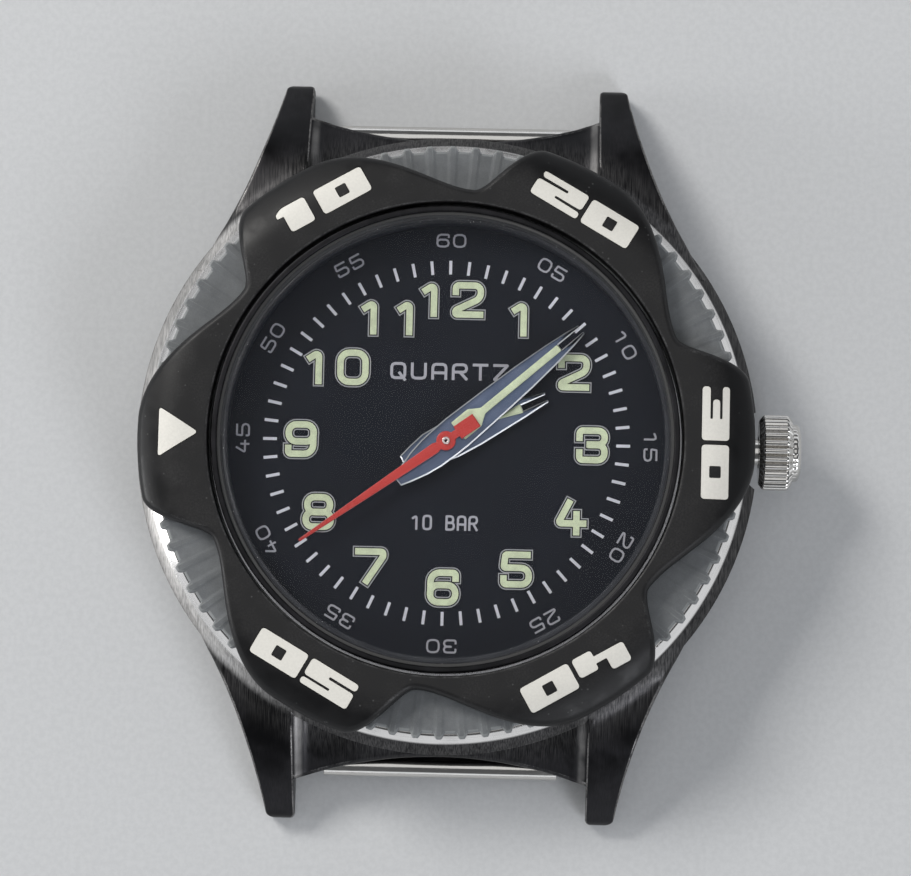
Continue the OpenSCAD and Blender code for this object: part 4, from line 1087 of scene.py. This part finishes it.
enamel_r = np.linspace(16.5, 20.2, 26)
enamel_top = np.column_stack([enamel_r, dome(enamel_r) - ENAMEL_SINK])
enamel_disc = turned(np.concatenate([[[16.5, 9.0]], enamel_top, [[20.2, 9.0]]]), 360)
enamel = piece("bezel_figures", figure_skins(0.0, POCKET_FLOOR, 11.0))
combine(enamel, enamel_disc, "INTERSECT")
smooth(enamel, 30)
mark_edges(enamel)
stand_for(enamel, "bezel", "inlay_white", "bezel_numerals", "bezel_marker")

combine(bezel, figure_skins(POCKET_GAP, POCKET_FLOOR, 11.5), "DIFFERENCE")
smooth(bezel, 35)
mark_edges(bezel)
stand_for(bezel, "bezel", "bezel_black", "bezel_top")


# %% [markdown]
# Under the lobes sits the grip ring, which shows in the scallops. Eighty ribs stand out from its
# rim and run in over its top. A rib takes up half of its pitch, with soft shoulders, so the
# valleys between stay wide and flat.

# %% Rib the grip ring
RIBS, RIB_RISE, VALLEY_SINK = 80, 0.38, 0.04
RING_FOOT, RING_TOP, RING_BORE, RING_R = 7.3, 8.6, 15.95, 19.82


def rib(a):
    """1 on a rib's crest, falling smoothly to 0 at a quarter of the pitch to each side."""
    t = np.abs((a * RIBS / 360 + 0.5) % 1 - 0.5)
    return soft_step((0.26 - t) / 0.17)


def grip_skin(steps=RIBS * 20):
    """The grid of angle by section, each radius raised by the rib and the top sunk between."""
    a = np.arange(steps) * 360 / steps
    crest = rib(a)[:, None]
    section = rounded([(RING_BORE, RING_FOOT), (RING_BORE, RING_TOP), (16.6, RING_TOP, 0),
                       (17.4, RING_TOP, 0), (18.2, RING_TOP, 0), (19.0, RING_TOP, 0),
                       (RING_R, RING_TOP), (RING_R, RING_FOOT)], 0.22, 6)
    r, z = section[:, 0][None, :], section[:, 1][None, :]
    outer = np.clip((r - 18.6) / 1.0, 0, 1)
    sink = np.clip((r - 16.6) / 1.2, 0, 1) * (z > 8.2)
    radius = r + RIB_RISE * crest * outer * outer
    height = z - VALLEY_SINK * sink * (1 - crest) - VALLEY_SINK * sink
    angle = np.radians(a)[:, None]
    points = np.stack([radius * np.cos(angle), radius * np.sin(angle),
                       np.broadcast_to(height, radius.shape)], axis=-1)
    return outward((points, grid_faces(steps, len(section), True, True)))


grip = piece("grip_ring", grip_skin(), 50)
mark_edges(grip)
stand_for(grip, "bezel", "bezel_grip", "bezel_ring")


# %% [markdown]
# ## The crystal
# The glass is a flat disc with a ground bevel. It stands a hair proud of the rim that holds it.

# %% Turn the crystal
glass_section = rounded([(0, 8.6), (15.2, 8.6), (15.2, 9.78), (14.85, 10.1), (0, 10.1)], 0.05, 3,
                        closed=False)
crystal = piece("crystal_lens", turned(glass_section, 256), 25)
stand_for(crystal, "case", "crystal_glass", "crystal")


# %% [markdown]
# ## The crown
# The crown is turned, then fluted along its axis. So its skin is a grid of angle by section, laid
# on the X axis, and the flutes are a rounded wave that fades out at both ends of the grip.

# %% Flute the crown
CROWN_R, FLUTES, FLUTE_DEPTH = 2.58, 27, 0.3


def crown_skin(steps=FLUTES * 16):
    """Section in (axis, radius), from the middle of the bore, round the grip, to the cap."""
    corners = [(22.9, 0), (22.9, 1.1), (21.3, 1.1), (21.3, CROWN_R - 0.42), (21.62, CROWN_R),
               (23.28, CROWN_R), (23.6, CROWN_R - 0.42), (23.55, 1.98), (23.95, 1.95),
               (24.15, 1.6), (24.15, 0)]
    section = rounded(corners, 0.16, 5, closed=False)
    axis, radius = section[1:-1, 0][:, None], section[1:-1, 1][:, None]
    a = np.arange(steps) * 2 * np.pi / steps
    wave = np.abs(np.cos(a * FLUTES / 2)) ** 0.7
    depth = FLUTE_DEPTH * np.clip((radius - 1.9) / 0.5, 0, 1) * np.clip((radius - 1.5) / 0.4, 0, 1)
    r = radius - depth * (1 - wave)
    x = np.broadcast_to(axis, r.shape)
    points = np.stack([x, r * np.cos(a), CROWN_Z + r * np.sin(a)], axis=-1)
    rings = points.reshape(len(axis), steps, 3)
    skin = closed_tube(rings)
    skin[0][-2:] = [[22.9, 0, CROWN_Z], [24.15, 0, CROWN_Z]]
    return outward(skin)


crown = piece("crown_knob", crown_skin(), 40)
mark_edges(crown)
stand_for(crown, "crown", "polished_steel", "crown")


# %% [markdown]
# ## The strap bars
# Each bar is a thin tube with a sprung tip in each end. All are turned, with small chamfers.

# %% Turn the bars and tips
bar_section = rounded([(0.48, -8), (0.75, -8), (0.75, 8), (0.48, 8), (0.48, 7.7, 0.2), (0.56, 7.7, 0.2),
                       (0.56, -7.7, 0.2), (0.48, -7.7, 0.2)], 0.08, 4)
tip_section = rounded([(0, 6.5), (0.52, 6.5, 0.3), (0.52, 7.0, 0.3), (0.44, 7.0, 0.3), (0.44, 9.5, 0.3),
                       (0.7, 9.5, 0.6), (0.7, 9.8, 0.6), (0.44, 9.8, 0.3), (0.44, 11.2), (0, 11.2)],
                      0.12, 4, closed=False)
for end, sign in (("12", 1), ("6", -1)):
    bar = piece("strap_bar_" + end, lying(turned(bar_section, 48), sign * BAR_Y, BAR_Z), 40)
    stand_for(bar, "case", "polished_steel", "spring_bar_tube_" + end)
    for side, way in (("right", 1), ("left", -1)):
        points, faces = lying(turned(tip_section, 40), sign * BAR_Y, BAR_Z)
        tip = piece("strap_tip_" + end + "_" + side, outward((points * [way, 1, 1], faces)), 40)
        name = "tip_" + end + "_" + side
        stand_for(tip, name, "polished_steel", "bar_" + name)


# %% [markdown]
# ## The hands
# Hour and minute hands are punched from thin sheet and lacquered slate blue, with a polished
# bevel along both edges and a strip of luminous paint. The second hand is a red needle with a
# square tail. An outline is a list of stations: a distance along the hand and a half width.

# %% Punch the hands
BLADE_EASE, BLADE_BEVEL = 0.07, 0.09
NOTCH_HALF = 0.2
HANDS = {
    "minute": {"z": (7.63, 7.79), "bore": 0.36, "notch": 10.05,
               "stations": [(-4.28, 0.39), (-3.53, 0.64), (-2.4, 0.95), (-1.29, 1.13), (0, 1.2),
                            (1.02, 1.22), (4.2, 1.09), (6.86, 0.95), (9.4, 0.73), (11.0, 0.53),
                            (11.95, 0.36)],
               "lume": [(1.05, 0.75), (2.5, 0.75), (3.25, 0.25), (10.0, 0.25)]},
    "hour": {"z": (7.3, 7.46), "bore": 0.62, "notch": 5.64,
             "stations": [(-3.26, 0.39), (-2.4, 0.75), (-1.29, 1.13), (0, 1.27), (0.34, 1.29),
                          (2.2, 1.14), (3.87, 0.91), (5.6, 0.67), (6.9, 0.45), (7.47, 0.36)],
             "lume": [(1.35, 0.7), (1.9, 0.7), (2.6, 0.05), (3.9, 0.05), (5.6, 0.34)]},
}


def circle(radius, steps=48):
    a = np.arange(steps) * 2 * np.pi / steps
    return np.column_stack([radius * np.cos(a), radius * np.sin(a)])


def from_stations(stations):
    """The outline of a shape that is even about the Y axis."""
    return [(w, s) for s, w in stations] + [(-w, s) for s, w in reversed(stations)]


def direction_of(node_name):
    """The direction a hand points in at rest, in degrees about Z from +Y, from its CAD part: the
    farthest point from the axis."""
    mesh = frame["nodes"][node_name].data
    co = np.empty(len(mesh.vertices) * 3, np.float32)
    mesh.vertices.foreach_get("co", co)
    x, y = co.reshape(-1, 3)[:, :2].T
    far = np.hypot(x, y) > np.hypot(x, y).max() - 0.05 * MM
    return math.degrees(math.atan2(-x[far].mean(), y[far].mean()))


for name, hand in HANDS.items():
    turn = direction_of(name + "_hand")
    z0, z1 = hand["z"]
    notch, tip = hand["notch"], hand["stations"][-1][0]
    outline = from_stations(hand["stations"])
    middle = len(hand["stations"])
    outline[middle:middle] = [(NOTCH_HALF, tip), (NOTCH_HALF, notch), (-NOTCH_HALF, notch),
                              (-NOTCH_HALF, tip)]
    blade = rounded([(x, y, 0.3) for x, y in outline], 0.12, 3)
    sheet = punched([blade, circle(hand["bore"])], z0, z1, BLADE_EASE, 1, BLADE_BEVEL)
    made = piece(name + "_hand_blade", placed(outward(sheet), turn), 20)
    mark_edges(made)
    stand_for(made, name + "s", "hand_blue", name + "_hand")
    paint = punched([rounded(from_stations(hand["lume"]), 0.1, 4)], z1 - 0.03, z1 + 0.02, 0.04, 4, 0.1)
    strip = piece(name + "_hand_paint", placed(outward(paint), turn))
    mark_edges(strip)
    stand_for(strip, name + "s", "lume", name + "_hand_lume")

# %% Punch the second hand and its tube
second_stations = [(-2.51, 0.51), (-0.95, 0.51), (-0.95, 0.27), (-0.6, 0.28)]
a = np.radians(np.linspace(-65, 65, 12))
hub = [(0.66 * math.sin(t), 0.66 * math.cos(t)) for t in a]
second_stations += [(s, w) for s, w in hub] + [(0.9, 0.37), (6.1, 0.26), (12.03, 0.1)]
needle = rounded([(x, y, 0.5) for x, y in from_stations(second_stations)], 0.08, 3)
sheet = punched([needle, circle(0.2)], 7.98, 8.09, 0.05, 3, 0.06)
second = piece("second_hand_needle", placed(outward(sheet), direction_of("second_hand")), 30)
mark_edges(second)
stand_for(second, "seconds", "hand_red", "second_hand")

tube_section = rounded([(0, 7.9), (0.27, 7.9), (0.27, 8.2), (0.12, 8.2, 0.4), (0.09, 8.16, 0.3),
                        (0, 8.16)], 0.04, 3, closed=False)
tube = piece("second_hand_tube", turned(tube_section, 48))
tube.data.materials.append(eyelet())
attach(tube, "seconds")
print(tube.name, "has", len(tube.data.polygons), "faces and stands for no CAD part")


# %% [markdown]
# ## Floor and light
# A pale floor under the watch and a soft studio: a large panel overhead, a stronger one from the
# upper left that draws the highlights, two weaker ones from the lower right and from low on the
# left, and a dim sky with a brighter band near the horizon. So the black parts stay black, and
# their slopes still shine.

# %% Set the stage
FLOOR_HALF = 1500.0


def floor():
    """A square of pale card, with a faint grain, that the watch lies on."""
    material, tree, shader = start_material("floor_card", Roughness=0.75)
    tone = use_group(tree, GRAIN, Size=0.4)["Tone"]
    tree.links.new(mix_colour(tree, tone, colour(0.6, 0.61, 0.62), colour(0.64, 0.65, 0.66)),
                   shader.inputs["Base Color"])
    corners = [(x * FLOOR_HALF, y * FLOOR_HALF, 0) for x, y in ((-1, -1), (1, -1), (1, 1), (-1, 1))]
    made = piece("floor", (corners, [[0, 1, 2, 3]]))
    made.data.materials.append(material)


def panel(name, place, size, power, tint=(1, 1, 1)):
    """A square light panel that faces the watch."""
    light = bpy.data.lights.new(name, "AREA")
    light.size = size
    light.energy = power
    light.color = tint
    made = bpy.data.objects.new(name, light)
    made.location = place
    made.rotation_euler = Vector(place).to_track_quat("Z", "Y").to_euler()
    bpy.context.scene.collection.objects.link(made)


def studio_sky():
    """A dim sky over a bright low band: strength by the height of the direction looked in."""
    world = bpy.data.worlds.new("studio")
    world.use_nodes = True
    tree = world.node_tree
    way = node(tree, "TexCoord").outputs["Generated"]
    height = node(tree, "SeparateXYZ", i0=way).outputs[2]
    band = calc(tree, "MULTIPLY", ramp(tree, height, 0.02, 0.1), ramp(tree, height, 0.45, 0.3))
    strength = calc(tree, "ADD", calc(tree, "MULTIPLY", band, 1.0), 0.12)
    sky = tree.nodes["Background"]
    sky.inputs[0].default_value = colour(0.93, 0.96, 1.0)
    tree.links.new(strength, sky.inputs[1])
    bpy.context.scene.world = world


floor()
panel("overhead", (0.0, 0.06, 0.55), 0.42, 0.42)
panel("upper_left", (-0.36, 0.3, 0.42), 0.2, 2.2, (1.0, 0.98, 0.95))
panel("lower_right", (0.3, -0.4, 0.35), 0.2, 1.0, (0.93, 0.95, 1.0))
panel("low_left", (-0.6, -0.05, 0.12), 0.22, 1.3)
studio_sky()
bpy.context.scene.view_settings.view_transform = "Standard"
print("set", len(bpy.data.lights), "lights")
